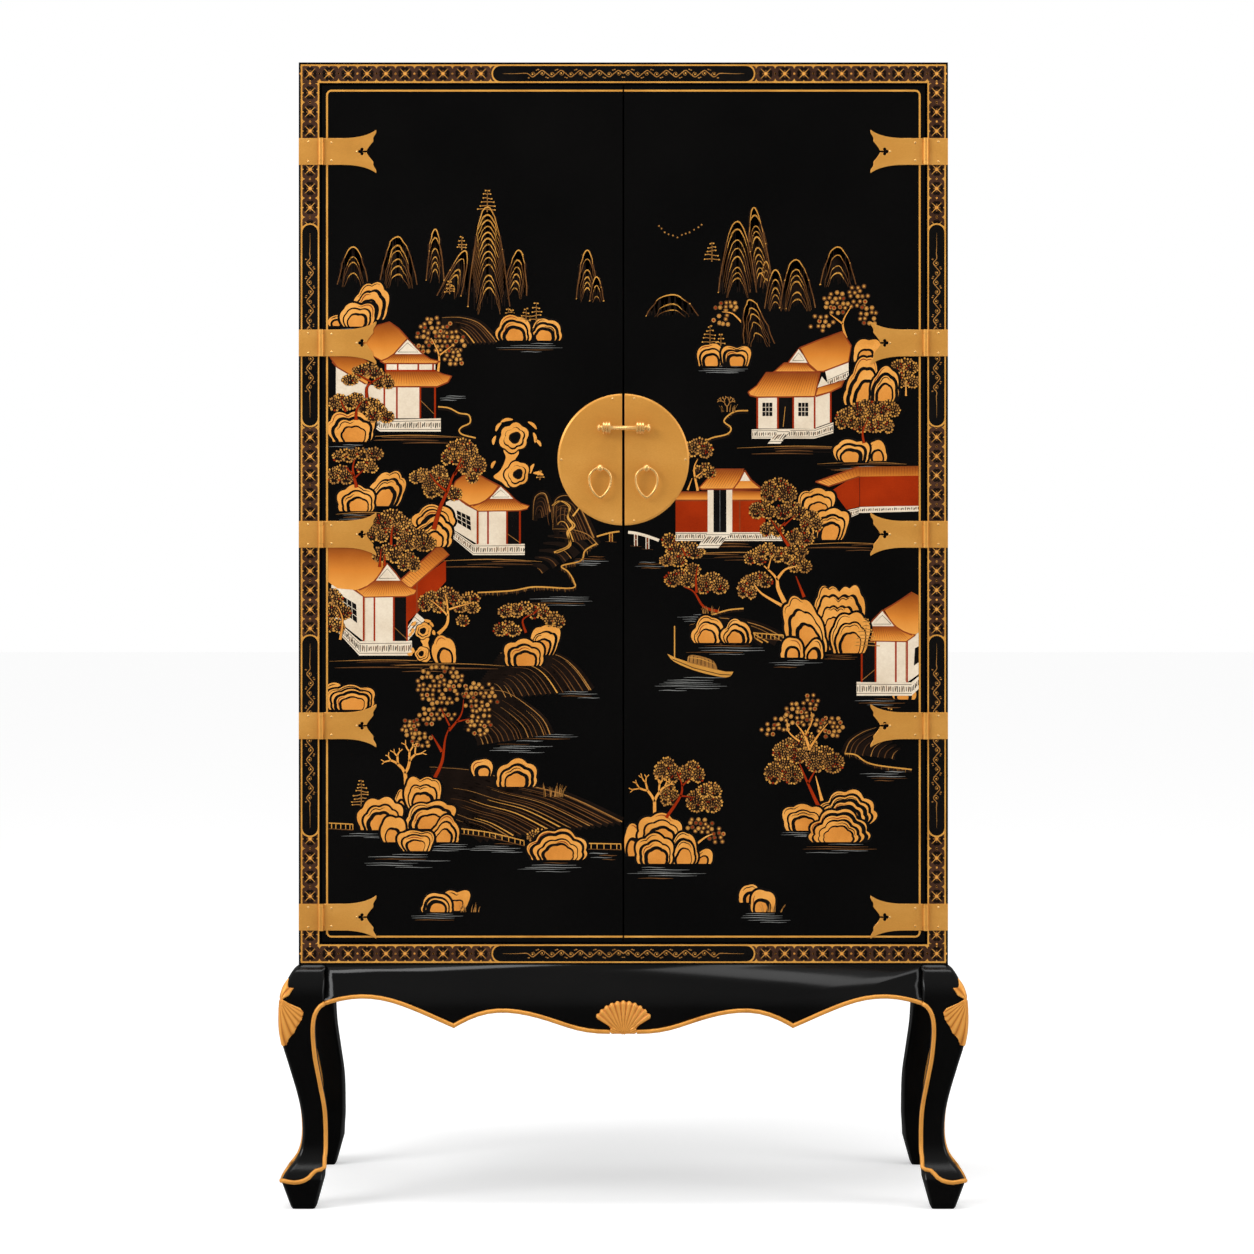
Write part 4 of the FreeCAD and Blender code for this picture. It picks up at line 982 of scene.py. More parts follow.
for node in ("side_left", "side_right", "door_left", "door_right"):
    low_end, high_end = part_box(node)
    middle = (low_end + high_end) / 2
    wide, deep, tall = ((b - a) / MM for a, b in zip(low_end, high_end))
    if node.startswith("side"):
        hand = 1 if node == "side_right" else -1
        face = (high_end if hand > 0 else low_end).x
        gilt_frame(node, deep, tall, lambda a, b, out: (face + hand * out * MM, middle.y + a * MM, middle.z + b * MM))
    else:
        gilt_frame(node, wide, tall, lambda a, b, out: (middle.x + a * MM, high_end.y + out * MM, middle.z + b * MM))

# %% [markdown]
# Rocks
#
# Painted rocks of this kind are like cut onions: a thick gold rim with round lobes, a black line,
# another rim, and a plain gold heart low in the middle, all with a level foot. Drawn one over the
# other from the outside in, each a layer higher, they need nothing but filled outlines.

# %% Rocks
# The heart's share of a rock, the widths of a rim and a black line, and how far the foot tucks in
HEART, RIM, GAP, TUCK = 0.48, 7.3, 4.9, 0.60
LOBE, LOBE_DEPTH, FIRST_GAP, RIM_LAYER = 22, 0.12, 3.8, 0.6


def rock(marks, x, z, wide, tall, lean, layer, seed):
    """One boulder on its foot: rims and black lines inside each other, tucked in below."""
    rng = random.Random(seed)
    lobes = max(3, round((wide + 1.6 * tall) / LOBE))
    phase = rng.uniform(-0.5, 0.5)
    swell = [rng.uniform(-0.09, 0.09) for k in range(2)]
    hand = rng.choice((-1, 1))
    heart = -hand * rng.uniform(0.03, 0.15) * wide
    count = 7 * lobes
    wave = LOBE_DEPTH * min(1.0, 0.75 * wide / tall)

    def outline(share, grow, aside=0.0):
        points = []
        for k in range(count + 1):
            a = math.pi + TUCK - (math.pi + 2 * TUCK) * k / count
            out = (0.95 + wave * abs(math.sin(lobes * a / 2 + phase)) + swell[0] * math.cos(2 * a)
                   + swell[1] * math.sin(3 * a))
            out = 1 + (out - 1) * (0.35 + 0.65 * share)
            u = math.cos(a) * wide / 2 * out
            v = (math.sin(a) + math.sin(TUCK)) / (1 + math.sin(TUCK)) * tall * out
            u, v = heart + (u - heart) * share + grow * math.cos(a) + aside, v * share + grow * math.sin(a)
            points.append((x + u + lean * v, z + max(v, -1.0)))
        return points

    rims = max(1, min(4, int(min(wide / 2, tall * 0.9) * (1 - HEART) / RIM + 0.5)))
    for rim in range(rims + 1):
        share = 1 - (1 - HEART) * rim / rims
        line = GAP * rng.uniform(0.5, 1.1) if rim else FIRST_GAP
        aside = hand * rng.uniform(0.4, 1.7) if rim else 0
        level = layer + RIM_LAYER * rim
        marks.area(outline(share, line, aside), "ink", level)
        marks.area(outline(share, 0), "amber" if rim == rims else "rock", level + 0.3)
        if rim < rims and rng.random() < 0.8:
            edge = outline(share, -0.5 * (1 - HEART) / rims * min(wide / 2, tall) * 0.8)
            first = rng.randrange(2, len(edge) // 2)
            last = first + rng.randrange(len(edge) // 4, len(edge) // 2)
            marks.stroke(edge[first:last], rng.choice(("russet", "ink", "ink")), level + 0.4, 1.7)


# %% [markdown]
# Mountains and hills
#
# Far mountains are arcs of gold inside each other over a brown body that fades downwards into the
# black. Near hills are brown as well, and their arcs start level at the crest and bend down to the
# shore, all drawn towards one corner. Both fade because every stroke runs thin, so no see-through
# paint is needed.

# %% Mountains
ARC_POWER, ARC_HALF_STEPS = 2.1, 9
ARC_DROPS = (8.5, 9.5, 11.0, 13.0, 17.0)


def mountain(marks, x, top, foot, half, layer, lean, seed):
    """Nested arcs over a dark body that frays out towards its foot."""
    rng = random.Random(seed)
    tall = top - foot
    wave = [rng.uniform(-1, 1) for k in range(3)]

    def arc(apex, reach, low):
        points = []
        for t in (k / ARC_HALF_STEPS for k in range(-ARC_HALF_STEPS, ARC_HALF_STEPS + 1)):
            down = (apex - low) * abs(t) ** ARC_POWER
            shake = 0.035 * half * (wave[0] * math.sin(down / 5) + wave[1] * math.sin(down / 2.6 + 2))
            points.append((x + lean * (top - apex + down) + reach * t + shake, apex - down))
        return points

    ridge = arc(top, half, foot + tall * 0.08)
    columns = max(6, int(half / 1.4))
    for k in range(1, columns):
        u, v = ridge[round(k / columns * (len(ridge) - 1))]
        end = foot + tall * (0.05 + 0.22 * rng.random())
        if v - end > 5:
            marks.stroke([(u, v), (u, v * 0.6 + end * 0.4), (u, end)], "umber", layer, 2 * half / columns * 2.6,
                         ends="last")
    marks.line(ridge, "dim", layer + 1, 1.6)
    marks.stroke(ridge[4:-4], "gold", layer + 1.1, 2.0)
    apex, turn = top - rng.uniform(12, 16), 0
    while apex - foot > tall * 0.2:
        share = (top - apex) / tall
        reach = half * (0.84 - 0.44 * share)
        line = arc(apex, reach, max(foot + 1, apex - reach * 3.0))
        marks.stroke(line, "dim", layer + 1.2 + 0.1 * turn, 1.5)
        cut = rng.choice((3, 4, 5))
        marks.stroke(line[cut:-cut], "gold", layer + 1.25 + 0.1 * turn, rng.uniform(1.5, 2.5))
        apex -= rng.choice(ARC_DROPS)
        turn += 1
    for u, v in ridge[::3]:
        if rng.random() < 0.5:
            marks.dot(u, v, rng.uniform(1.0, 1.7), "gold", layer + 1.3, corners=5, tall=0.7, turn=rng.random())


# %% Hills and shores
FRINGE_PITCH = 2.6


def hill(marks, crest, corner, count, seed, layer=0):
    """A brown hill between its crest and a low corner, with arcs that bend down to the shore."""
    rng = random.Random(seed)
    edge = smooth(crest, 6)

    def drawn_in(points, share):
        return [(corner[0] + (u - corner[0]) * share, corner[1] + (v - corner[1]) * (0.12 + 0.88 * share))
                for u, v in points]

    thick = 2.4 * math.hypot(edge[-1][0] - corner[0], edge[len(edge) // 2][1] - corner[1]) / count
    for k in range(count):
        marks.stroke(drawn_in(edge, 1 - k / count * 0.8), "umber", layer + 0.05 * k, min(thick, 14.0), ends="first")
    marks.stroke(edge, "leaf", layer + 2, 1.7, ends="first")
    for k in range(count):
        share = 1 - (k + rng.uniform(0.2, 0.8)) / count * 0.74
        line = drawn_in(edge[int(rng.uniform(0.15, 0.6) * len(edge)):], share)
        pick = rng.random()
        paint = "gold" if pick > 0.87 else "dim" if pick < 0.72 else "leaf"
        marks.stroke(line, paint, layer + 1, 2.2 if paint == "gold" else 1.4, ends="first")


def shore(marks, points, fringe, seed, layer=4):
    """A gold bank line with a fringe of short strokes under it."""
    rng = random.Random(seed)
    line = smooth(points, 5)
    marks.line(line, "gold", layer + 1, 2.2)
    marks.line([(u, v - 2.4) for u, v in line], "umber", layer, 5.0)
    for (u0, v0), (u1, _) in zip(line, line[1:]):
        for k in range(max(1, int(abs(u1 - u0) / FRINGE_PITCH))):
            u = u0 + (u1 - u0) * rng.random()
            marks.stroke([(u, v0 - 0.5), (u + 0.4, v0 - fringe * rng.uniform(0.4, 1.0))],
                         rng.choice(("leaf", "dim", "dim")), layer + 0.6, 1.1, ends="last")


# %% [markdown]
# Trees
#
# A tree's crown is a set of dark scalloped pads. On each, rows of small gold leaves fan out from the
# point where the branch meets it, brightest on the rim, with a little red near the branch. Some
# trees carry round discs instead, each with a dark rim and a bright heart. Trunks and branches are
# drawn over the pads and run thin into them.

# %% Leaves
LEAF_PITCH, DISC_PITCH = 4.2, 8.3
PAD_RED, DISC_RED = 0.10, 0.25
# Place, width and height of the three fans of a wide pad, in shares of the pad
PAD_PARTS = ((0.02, 0.20, 0.62, 0.62), (-0.25, -0.04, 0.56, 0.78), (0.24, -0.10, 0.58, 0.72))


def fan(marks, x, z, wide, tall, layer, rng):
    """One dark scalloped fan with rows of leaves that spread from a point low in it."""
    hub_x, hub_z = x, z - 0.40 * tall
    lobes = max(5, round((wide + tall) / 8))
    edge = []
    for k in range(4 * lobes):
        a = 2 * math.pi * k / (4 * lobes)
        out = 0.98 + 0.15 * abs(math.sin(lobes * a / 2))
        edge.append((x + wide / 2 * out * math.cos(a), z + tall / 2 * out * math.sin(a)))
    marks.area(edge, "umber", layer)
    rays = max(7, int(math.pi * (wide + tall) / 2 / LEAF_PITCH))
    for ray in range(rays):
        a = 2 * math.pi * (ray + rng.uniform(-0.2, 0.2)) / rays
        u, v = x + wide / 2 * math.cos(a) - hub_x, z + tall / 2 * math.sin(a) - hub_z
        long = math.hypot(u, v)
        for step in range(max(1, int(long / LEAF_PITCH))):
            share = 1 - (step + 0.3 * (ray % 2)) * LEAF_PITCH / max(long, LEAF_PITCH)
            if share < 0.2 or (share < 0.55 and ray % 2):
                continue
            pick = rng.random()
            near = step == 0
            paint = ("red" if pick < PAD_RED * (1.9 - 1.6 * share) else "gold" if pick > (0.55 if near else 0.88)
                     else "leaf" if near or pick > 0.30 else "dim")
            marks.dot(hub_x + u * share, hub_z + v * share, 2.0 if near else 1.8, paint, layer + 0.12,
                      corners=5 if near else 4, tall=0.8 if near else 0.52, turn=math.atan2(v, u))


def pad(marks, x, z, wide, tall, layer, rng):
    """A pad of three overlapping fans, or of one if it is small."""
    for k, (u, v, w, h) in enumerate(PAD_PARTS if wide > 27 else [(0.0, 0.0, 1.0, 1.0)]):
        fan(marks, x + u * wide + rng.uniform(-1.5, 1.5), z + v * tall, w * wide * rng.uniform(0.92, 1.08),
            h * tall * rng.uniform(0.92, 1.08), layer + 0.22 * k, rng)


def discs(marks, x, z, wide, tall, layer, rng):
    """A clump of round leaves, each with a dark rim and a bright heart."""
    rows = max(1, round(tall / DISC_PITCH / 0.86))
    for row in range(rows):
        v = (row + 0.5) / rows * 2 - 1
        across = wide * math.sqrt(max(0.0, 1 - v * v * 0.9))
        count = max(1, round(across / DISC_PITCH))
        for k in range(count):
            if rng.random() < 0.10:
                continue
            u = x + across * ((k + 0.5 + 0.25 * (-1) ** row) / count - 0.5) + rng.uniform(-1.6, 1.6)
            w = z + v * tall / 2 + rng.uniform(-1.6, 1.6)
            level = layer + 0.5 * rng.random()
            marks.dot(u, w, 4.5, "umber", level, corners=9)
            marks.dot(u, w, 3.5, "leaf" if rng.random() < 0.4 else "dim", level + 0.1, corners=8)
            marks.dot(u, w, 1.8, "red" if rng.random() < DISC_RED else "gold", level + 0.2)


# %% Trees
BOUGH_PITCH = 5.2


def tree(marks, layer, leaf, trunks, pads, seed):
    """A tree: pads of leaves or discs, and its trunk and branches as (paint, width, points)."""
    rng = random.Random(seed)
    for number, (x, z, wide, tall) in enumerate(pads):
        leaf(marks, x, z, wide, tall, layer + 0.7 * number, rng)
    for paint, width, points in trunks:
        line = smooth(points, 5)
        marks.stroke(line, "ink", layer + 6.2, width + 1.4, ends="last")
        marks.stroke(line, paint, layer + 6.5, width, ends="last")


def bare_tree(marks, x, z, size, layer, seed, paint, forks=5):
    """A leafless tree that forks again and again."""
    rng = random.Random(seed)

    def grow(u, v, turn, length, left):
        bend = turn + rng.uniform(-10, 10)
        mid = (u + length * 0.5 * math.cos(math.radians(bend)), v + length * 0.5 * math.sin(math.radians(bend)))
        end = (u + length * math.cos(math.radians(turn)), v + length * math.sin(math.radians(turn)))
        marks.line(smooth([(u, v), mid, end], 2), paint, layer, max(1.3, size * 0.013 * left))
        if left > 1:
            for side in (-1, 1):
                grow(*end, turn + side * rng.uniform(18, 42), length * rng.uniform(0.62, 0.82), left - 1)

    grow(x, z, 90.0, size * 0.34, forks)


def pine(marks, x, z, tall, layer, seed):
    """A tiny far pine: a stem with short level boughs, longest below."""
    rng = random.Random(seed)
    marks.stroke([(x, z), (x + 0.4, z + tall)], "leaf", layer, 1.4, ends="last")
    count = max(3, int(tall / BOUGH_PITCH))
    for share in ((k + 0.5) / count for k in range(count)):
        reach = tall * 0.38 * (1.15 - share)
        for side in (-1, 1):
            end = (x + side * reach * rng.uniform(0.7, 1.1), z + tall * share + rng.uniform(-0.5, 2.2))
            marks.line([(x, z + tall * (share + 0.04)), ((x + end[0]) / 2, end[1] + 0.4), end], "leaf", layer, 1.3)
            marks.dot(*end, 1.3, "gold", layer + 1, corners=5)


# %% [markdown]
# Buildings
#
# A painted pavilion is a few flat shapes in a fixed order: base, walls, posts, windows, then the
# roofs with their dark edges. So each building is a short plan in thousandths of its width and
# height, and one function lays out any plan anywhere, also mirrored. Roofs get tile lines between
# their upper and lower edge, and bases get a frame with small brush marks.

# %% How a plan is written
# Each line of a plan is a kind, a paint and points. An area is filled, a box is a rectangle given by
# two corners, a line is drawn through its points, and uprights share one foot and head. Tiles fall
# from a first line to a second one, and a window or a fret fills four corners.


def plan(text):
    """The steps of a plan: kind, paint and lists of points in shares of width and height."""
    steps = []
    for row in filter(None, text.splitlines()):
        kind, paint, rest = row.split(None, 2)
        lists = [[tuple(int(number) / 1000 for number in word.split(",")) for word in part.split()]
                 for part in rest.split("|")]
        if kind == "box":
            (x0, z0), (x1, z1) = lists[0]
            steps.append(("area", paint, band(x0, x1, z0, z1)))
        elif kind == "upright":
            (foot, head), *places = lists[0]
            steps += [("line", paint, [(x, foot), (x, head)]) for x, in places]
        else:
            steps.append((kind, paint, *lists))
    return steps


# %% Plans of buildings
HALL_FRONT = """
fret - 0,277 335,0 340,128 0,362
fret - 330,0 947,0 947,133 335,128
area cream 0,362 383,130 383,530 128,690 10,628
window - 149,383 309,290 298,457 138,532
box cream 383,130 734,530
box ink 734,130 894,530
upright leaf 140,520 400
upright red 128,530 385
upright red 130,530 510 735 890
line leaf 745,250 885,150
line russet 128,690 250,600 383,530
"""
HALL_ROOF = """
area orange 290,585 420,625 521,670 819,670 900,615 1000,585 975,548 883,528 394,521
tiles russet 521,665 819,665 | 360,535 960,545
area orange {slope}
line russet 330,995 500,900 660,815
area cream 510,670 660,815 819,670
line umber 560,690 660,775 760,690 560,690
line russet 330,585 430,620 521,672 660,825 750,745 819,672
"""
HALL = plan(HALL_FRONT + HALL_ROOF.format(
    slope="640,830 500,900 330,1000 220,950 125,880 70,760 130,695 290,590 400,610 480,650 560,720"))
WIDE_HALL = plan(HALL_FRONT + HALL_ROOF.format(
    slope="640,830 500,910 360,990 200,1000 -50,1000 -50,670 80,600 290,585 400,610 480,650 560,720"))
TOWER = plan("""
area cream -316,330 20,200 20,427 -316,620
area orange -400,690 -300,580 40,420 100,600 -80,700
line russet -360,630 -300,580 40,420
fret - 0,110 184,0 200,105 20,210
fret - 184,0 878,0 878,120 200,105
area cream 20,200 235,120 235,403 20,427
box cream 235,120 643,410
box ink 643,120 816,410
upright red 120,410 235 378 643 812
line leaf 650,280 800,160
area orange 265,548 816,548 900,520 1000,500 960,444 837,403 306,403 184,460
tiles russet 300,545 800,545 | 240,420 930,430
line russet 184,460 306,405 837,405 960,446 1000,500
box cream 245,548 816,620
line red 245,550 816,550
upright red 550,620 250 388 622 790
area orange 347,700 673,700 760,655 870,632 820,612 240,612 190,632 270,660
tiles russet 360,697 660,697 | 240,620 820,620
line russet 190,634 240,614 820,614 870,634
area orange 500,840 400,930 290,990 160,960 60,910 0,800 30,740 100,685 204,640 270,660 347,700
area cream 337,700 500,830 673,700
line umber 390,718 500,800 620,718 390,718
line russet 204,640 270,660 347,702 500,842 590,765 673,702
line russet 290,990 400,930 500,842
""")
VILLA = plan("""
fret - 35,45 644,45 644,135 35,127
fret - 644,45 826,95 826,190 644,130
box cream 87,135 644,420
area cream 650,140 800,190 800,460 650,430
box ink 290,135 435,420
line gold 340,150 360,330
window - 139,246 235,246 235,365 139,365
window - 487,246 583,246 583,365 487,365
upright red 135,420 90 288 438 645
upright red 190,460 800
fret - 190,0 313,0 417,127 296,127
area cream 765,575 974,660 974,730 748,645
fret - 765,500 974,585 974,660 765,575
area orange 652,430 660,420 800,460 904,508 930,565 800,530 678,500
line russet 652,425 800,462 904,510 930,565
area cream 672,500 715,600 780,530
area orange 0,460 20,429 87,413 644,420 670,520 696,635 174,635 87,520
tiles russet 190,630 680,630 | 50,430 630,430
line russet 0,460 20,430 87,415 644,420 670,520 696,635
area orange 243,635 670,635 610,680 557,727 350,720
tiles russet 360,720 550,725 | 270,645 640,645
line russet 243,640 670,640
area orange 504,857 700,930 913,1000 960,930 1000,873 974,730 730,643 660,645 590,700
area cream 391,725 490,845 585,722
line umber 430,742 490,810 545,742 430,742
line russet 391,727 497,857 590,710 670,645 730,645 974,730
line russet 504,857 700,930 913,1000 960,930 1000,873
""")
GATE = plan("""
fret - 0,90 1000,90 970,200 0,200
box red 0,200 840,620
upright russet 210,600 600
box orange 0,600 310,710
area orange 520,600 860,600 800,720 520,730
line russet 0,605 310,605
line russet 520,605 860,605
box cream 300,200 355,750
box cream 475,200 530,750
box ink 355,200 475,750
upright water 210,740 415
fret - 200,0 400,0 520,200 300,200
area orange 540,750 800,750 720,840 660,960 600,980
area orange 220,760 250,740 540,745 600,870 640,1000 350,1000 300,880
tiles russet 370,990 620,990 | 250,760 530,760
line russet 220,760 250,745 800,750
area cream 600,850 645,965 700,850
line russet 540,750 600,860 650,985 700,870 800,760
""")
WALL = plan("""
fret - 290,0 416,115 425,230 300,180
fret - 416,130 1000,160 1000,270 425,240
area red 160,550 300,190 425,246 425,800 300,720
area red 425,246 1000,262 1000,830 425,810
upright umber 250,800 425
area orange 0,705 130,620 300,730 425,803 1000,820 1000,1000 416,984 200,840
tiles russet 50,730 416,970 | 140,640 430,815
tiles russet 430,975 990,990 | 430,815 990,830
line russet 130,625 425,807 1000,823
line russet 0,705 200,840 416,984 1000,1000
""")
WING = plan("""
area red 0,50 160,110 450,290 920,620 920,840 330,560 0,520
upright russet 290,600 450
fret - 190,40 300,0 580,220 450,290
area orange 160,620 820,1000 970,900 320,530
tiles russet 170,620 820,995 | 330,540 970,900
line russet 160,620 820,1000 970,900 320,530 160,620
""")
print("plans:", [len(steps) for steps in (HALL, WIDE_HALL, TOWER, VILLA, GATE, WALL, WING)], "steps")

# %% Laying out a plan
PLAN_LAYER, ON_TOP = 0.7, 0.6
LINE_WIDTHS, OUTLINE, HAIR = {"red": 2.8, "russet": 2.2}, 1.7, 0.8
RIM_STEP, TILE_PITCH, FRET_PITCH = 6.0, 4.2, 3.4


def smooth_rim(points):
    """An outline with more corners, so that its shading is even."""
    out = []
    for p, q in zip(points, points[1:] + points[:1]):
        parts = max(1, int(math.hypot(q[0] - p[0], q[1] - p[1]) / RIM_STEP))
        out += [between(p, q, k / parts) for k in range(parts)]
    return out


def tiles(marks, top, low, paint, level):
    """Thin lines that sag from the upper edge of a roof to its eaves."""
    count = max(4, int(math.hypot(low[1][0] - low[0][0], low[1][1] - low[0][1]) / TILE_PITCH))
    for k in range(count + 1):
        p, q = between(*top, k / count), between(*low, k / count)
        sag = between(p, q, 0.55)
        line = [p, (sag[0] + (q[0] - p[0]) * 0.06, sag[1] - abs(q[1] - p[1]) * 0.05), q]
        marks.stroke(line, paint, level, HAIR, ends="last")


def window(marks, a, b, c, d, level):
    """A dark opening with two bars each way."""
    marks.area([a, b, c, d], "ink", level)
    for share in (1 / 3, 2 / 3):
        marks.line([between(a, b, share), between(d, c, share)], "cream", level + ON_TOP, HAIR)
        marks.line([between(a, d, share), between(b, c, share)], "cream", level + ON_TOP, HAIR)


def fret(marks, a, b, c, d, level, rng):
    """A pale base with two rails and a row of small brush marks."""
    marks.area([a, b, c, d], "cream", level)
    for share in (0.16, 0.84):
        marks.line([between(a, d, share), between(b, c, share)], "umber", level + ON_TOP, HAIR)
    count = max(2, int(math.hypot(b[0] - a[0], b[1] - a[1]) / FRET_PITCH))
    for k in range(count):
        share = (k + 0.5) / count
        foot, head = between(a, b, share), between(d, c, share)
        low, high = between(foot, head, rng.uniform(0.26, 0.36)), between(foot, head, rng.uniform(0.62, 0.76))
        marks.line([low, high], rng.choice(("umber", "dim")), level + ON_TOP, 1.3)
        if k % 3 == 1:
            marks.line([low, (high[0] + 2.4, high[1])], "umber", level + 0.9, 0.9)


def building(marks, steps, x, z, wide, tall, layer, flip):
    """Lays out a plan with its lower left corner at x and z, or its lower right one when flipped."""
    rng = random.Random(z)
    for number, (kind, paint, *lists) in enumerate(steps):
        level = layer + PLAN_LAYER * number
        lists = [[(x + flip * wide * u, z + tall * v) for u, v in points] for points in lists]
        points = lists[0]
        if kind == "tiles":
            tiles(marks, *lists, paint, level)
        elif kind == "window":
            window(marks, *points, level)
        elif kind == "fret":
            fret(marks, *points, level, rng)
        elif kind == "line":
            marks.line(points, paint, level, LINE_WIDTHS.get(paint, HAIR))
        elif paint == "orange":
            marks.area(smooth_rim(points), "roof", level, shaded=True)
            marks.line(points + points[:1], "russet", level + 0.35, OUTLINE)
        else:
            marks.area(points, paint, level)


# %% [markdown]
# Water, fences, boats and other small things
#
# What ties the scene together is small: grey strokes of water, brown strokes of ground, rails on
# posts along the banks, tufts of grass, a bridge, a boat and a few birds.

# %% Water, ground, fences and grass
WATER_STEP, GROUND_STEP, POST_PITCH, BLADE_PITCH = 3.3, 2.2, 3.8, 2.6


def water(marks, x, z, wide, count, seed, layer=5):
    """Level grey strokes, longest in the middle."""
    rng = random.Random(seed)
    for k in range(count):
        share = (k + 0.5) / count
        long = wide * (0.35 + 0.65 * math.sin(math.pi * share)) * rng.uniform(0.45, 0.9)
        u = x + rng.uniform(-0.3, 0.3) * (wide - long)
        v = z - k * WATER_STEP + rng.uniform(-0.5, 0.5)
        marks.stroke([(u - long / 2, v), (u - long / 6, v + 0.5), (u + long / 5, v - 0.3), (u + long / 2, v)],
                     "water" if rng.random() < 0.75 else "dim", layer, rng.uniform(0.9, 1.5))


def ground(marks, x, z, wide, seed, layer=2):
    """A thin brown shore line with a few fainter strokes under it."""
    rng = random.Random(seed)
    line = [(x - wide / 2, z - 2), (x - wide / 4, z), (x, z + 1.2), (x + wide / 4, z + 0.3), (x + wide / 2, z - 2.4)]
    marks.stroke(smooth(line), "leaf", layer + 1, 1.2)
    for k in range(5):
        long = wide * rng.uniform(0.3, 0.75)
        u, v = x + rng.uniform(-0.5, 0.5) * (wide - long), z - 2.5 - k * GROUND_STEP
        marks.stroke(smooth([(u - long / 2, v), (u, v + 1), (u + long / 2, v)]), "umber" if k % 2 else "dim", layer,
                     rng.uniform(1.0, 2.2))


def fence(marks, points, tall, layer=6):
    """Two rails on short posts along a line."""
    line = smooth(points, 6)
    marks.line([(x, z + tall) for x, z in line], "gold", layer + 1, 1.7)
    marks.line(line, "dim", layer, 1.2)
    gone = 0.0
    for (x0, z0), (x1, z1) in zip(line, line[1:]):
        gone += math.hypot(x1 - x0, z1 - z0)
        if gone > POST_PITCH:
            gone = 0.0
            marks.line([(x1, z1), (x1, z1 + tall)], "gold", layer, 1.3)


def grass(marks, x, z, wide, tall, seed, layer=20):
    """Blades that lean apart."""
    rng = random.Random(seed)
    for k in range(max(4, int(wide / BLADE_PITCH))):
        u = x + wide * (rng.random() - 0.5)
        lean = (u - x) / wide * tall * 0.7 + rng.uniform(-2, 2)
        high = tall * rng.uniform(0.55, 1.0)
        marks.stroke([(u, z), (u + lean * 0.35, z + high * 0.6), (u + lean, z + high)], "leaf", layer, 1.4, ends="last")


# %% A bridge and a boat
RAIL_ASIDE, RAIL = 2.2, 1.2


def bridge(marks, x0, x1, z, rise, way, paint, thick, posts, layer=6):
    """Half of an arched bridge on posts: way is -1 for the half that climbs to the right."""
    deck = []
    for share in (k / 9 for k in range(10)):
        high = math.sin(math.pi / 2 * (share if way < 0 else 1 - share))
        deck.append((x0 + (x1 - x0) * share, z + rise * high))
    marks.line(deck, paint, layer + 1, thick)
    for at, down in posts:
        u, v = deck[at]
        for place, tone in ((u - RAIL_ASIDE, paint), (u, "russet"), (u + RAIL_ASIDE, paint)):
            marks.line([(place, v), (place, v - down)], tone, layer, 1.3)
        marks.line([(u - RAIL_ASIDE, v - down / 2), (u + RAIL_ASIDE, v - down / 2)], paint, layer, RAIL)
        marks.stroke([(u - 9, v - down), (u + 9, v - down - 1)], "dim", layer, 1.6)


HULL = [(-0.5, 0.07), (-0.40, -0.02), (-0.1, -0.075), (0.3, -0.07), (0.44, -0.03), (0.5, 0.06)]
DECK = [(0.38, 0.03), (0.0, 0.02), (-0.36, 0.04)]
MATTING = [(-0.20, 0.02), (-0.17, 0.13), (0.0, 0.165), (0.20, 0.14), (0.26, 0.02)]


def boat(marks, x, z, long, layer, dip=-0.26):
    """A low hull with a matting roof and a mast, its stern lower than its bow."""

    def at(points):
        return [(x + u * long, z + v * long + dip * u * long) for u, v in points]

    marks.area(smooth(at(HULL), 3) + at(DECK), "gold", layer)
    marks.line(at([(-0.42, 0.01), (-0.1, -0.04), (0.3, -0.035), (0.46, 0.0)]), "umber", layer + 1, 1.2)
    marks.area(smooth(at(MATTING), 3), "leaf", layer + 1)
    for k in range(7):
        marks.line(at([(-0.17 + 0.06 * k, 0.03), (-0.155 + 0.056 * k, 0.145)]), "umber", layer + 2, 1.1)
    marks.stroke(at([(-0.18, 0.10), (0.0, 0.125), (0.22, 0.10)]), "gold", layer + 3, 1.6)
    marks.line([at([(-0.39, 0.02)])[0], (x - 0.39 * long, z + 0.62 * long)], "gold", layer + 2, 1.9)


# %% A twisted tree and a pierced rock
SPINE = [(0.0, 0.0), (0.34, 0.12), (0.30, 0.34), (0.44, 0.46), (0.30, 0.60), (0.34, 0.78), (0.12, 0.88), (-0.06, 0.80)]
LIMB = [(0.42, 0.62), (0.62, 0.82), (0.66, 0.98)]
STEM = [(0.10, 0.16), (0.24, 0.26), (0.34, 0.44), (0.30, 0.56), (0.48, 0.62), (0.60, 0.52), (0.52, 0.40), (0.62, 0.30),
        (0.66, 0.06), (0.40, 0.0), (0.26, 0.08)]
# Middle, reach, knobs and turn of each ring
RINGS = [(0.50, 0.74, 0.27, 6, 0.4), (0.56, 0.20, 0.23, 5, 0.1)]
# Middle, turn and length of each flake
FLAKES = [(0.20, 0.90, 1.0, 0.20), (0.36, 0.99, 0.2, 0.24), (0.86, 0.92, -0.7, 0.22), (0.90, 0.74, -1.4, 0.20),
          (0.12, 0.70, 1.3, 0.18), (0.98, 0.66, -0.9, 0.16), (0.86, 0.28, 1.2, 0.20), (0.98, 0.20, -0.2, 0.20),
          (0.10, 0.34, 1.1, 0.16)]


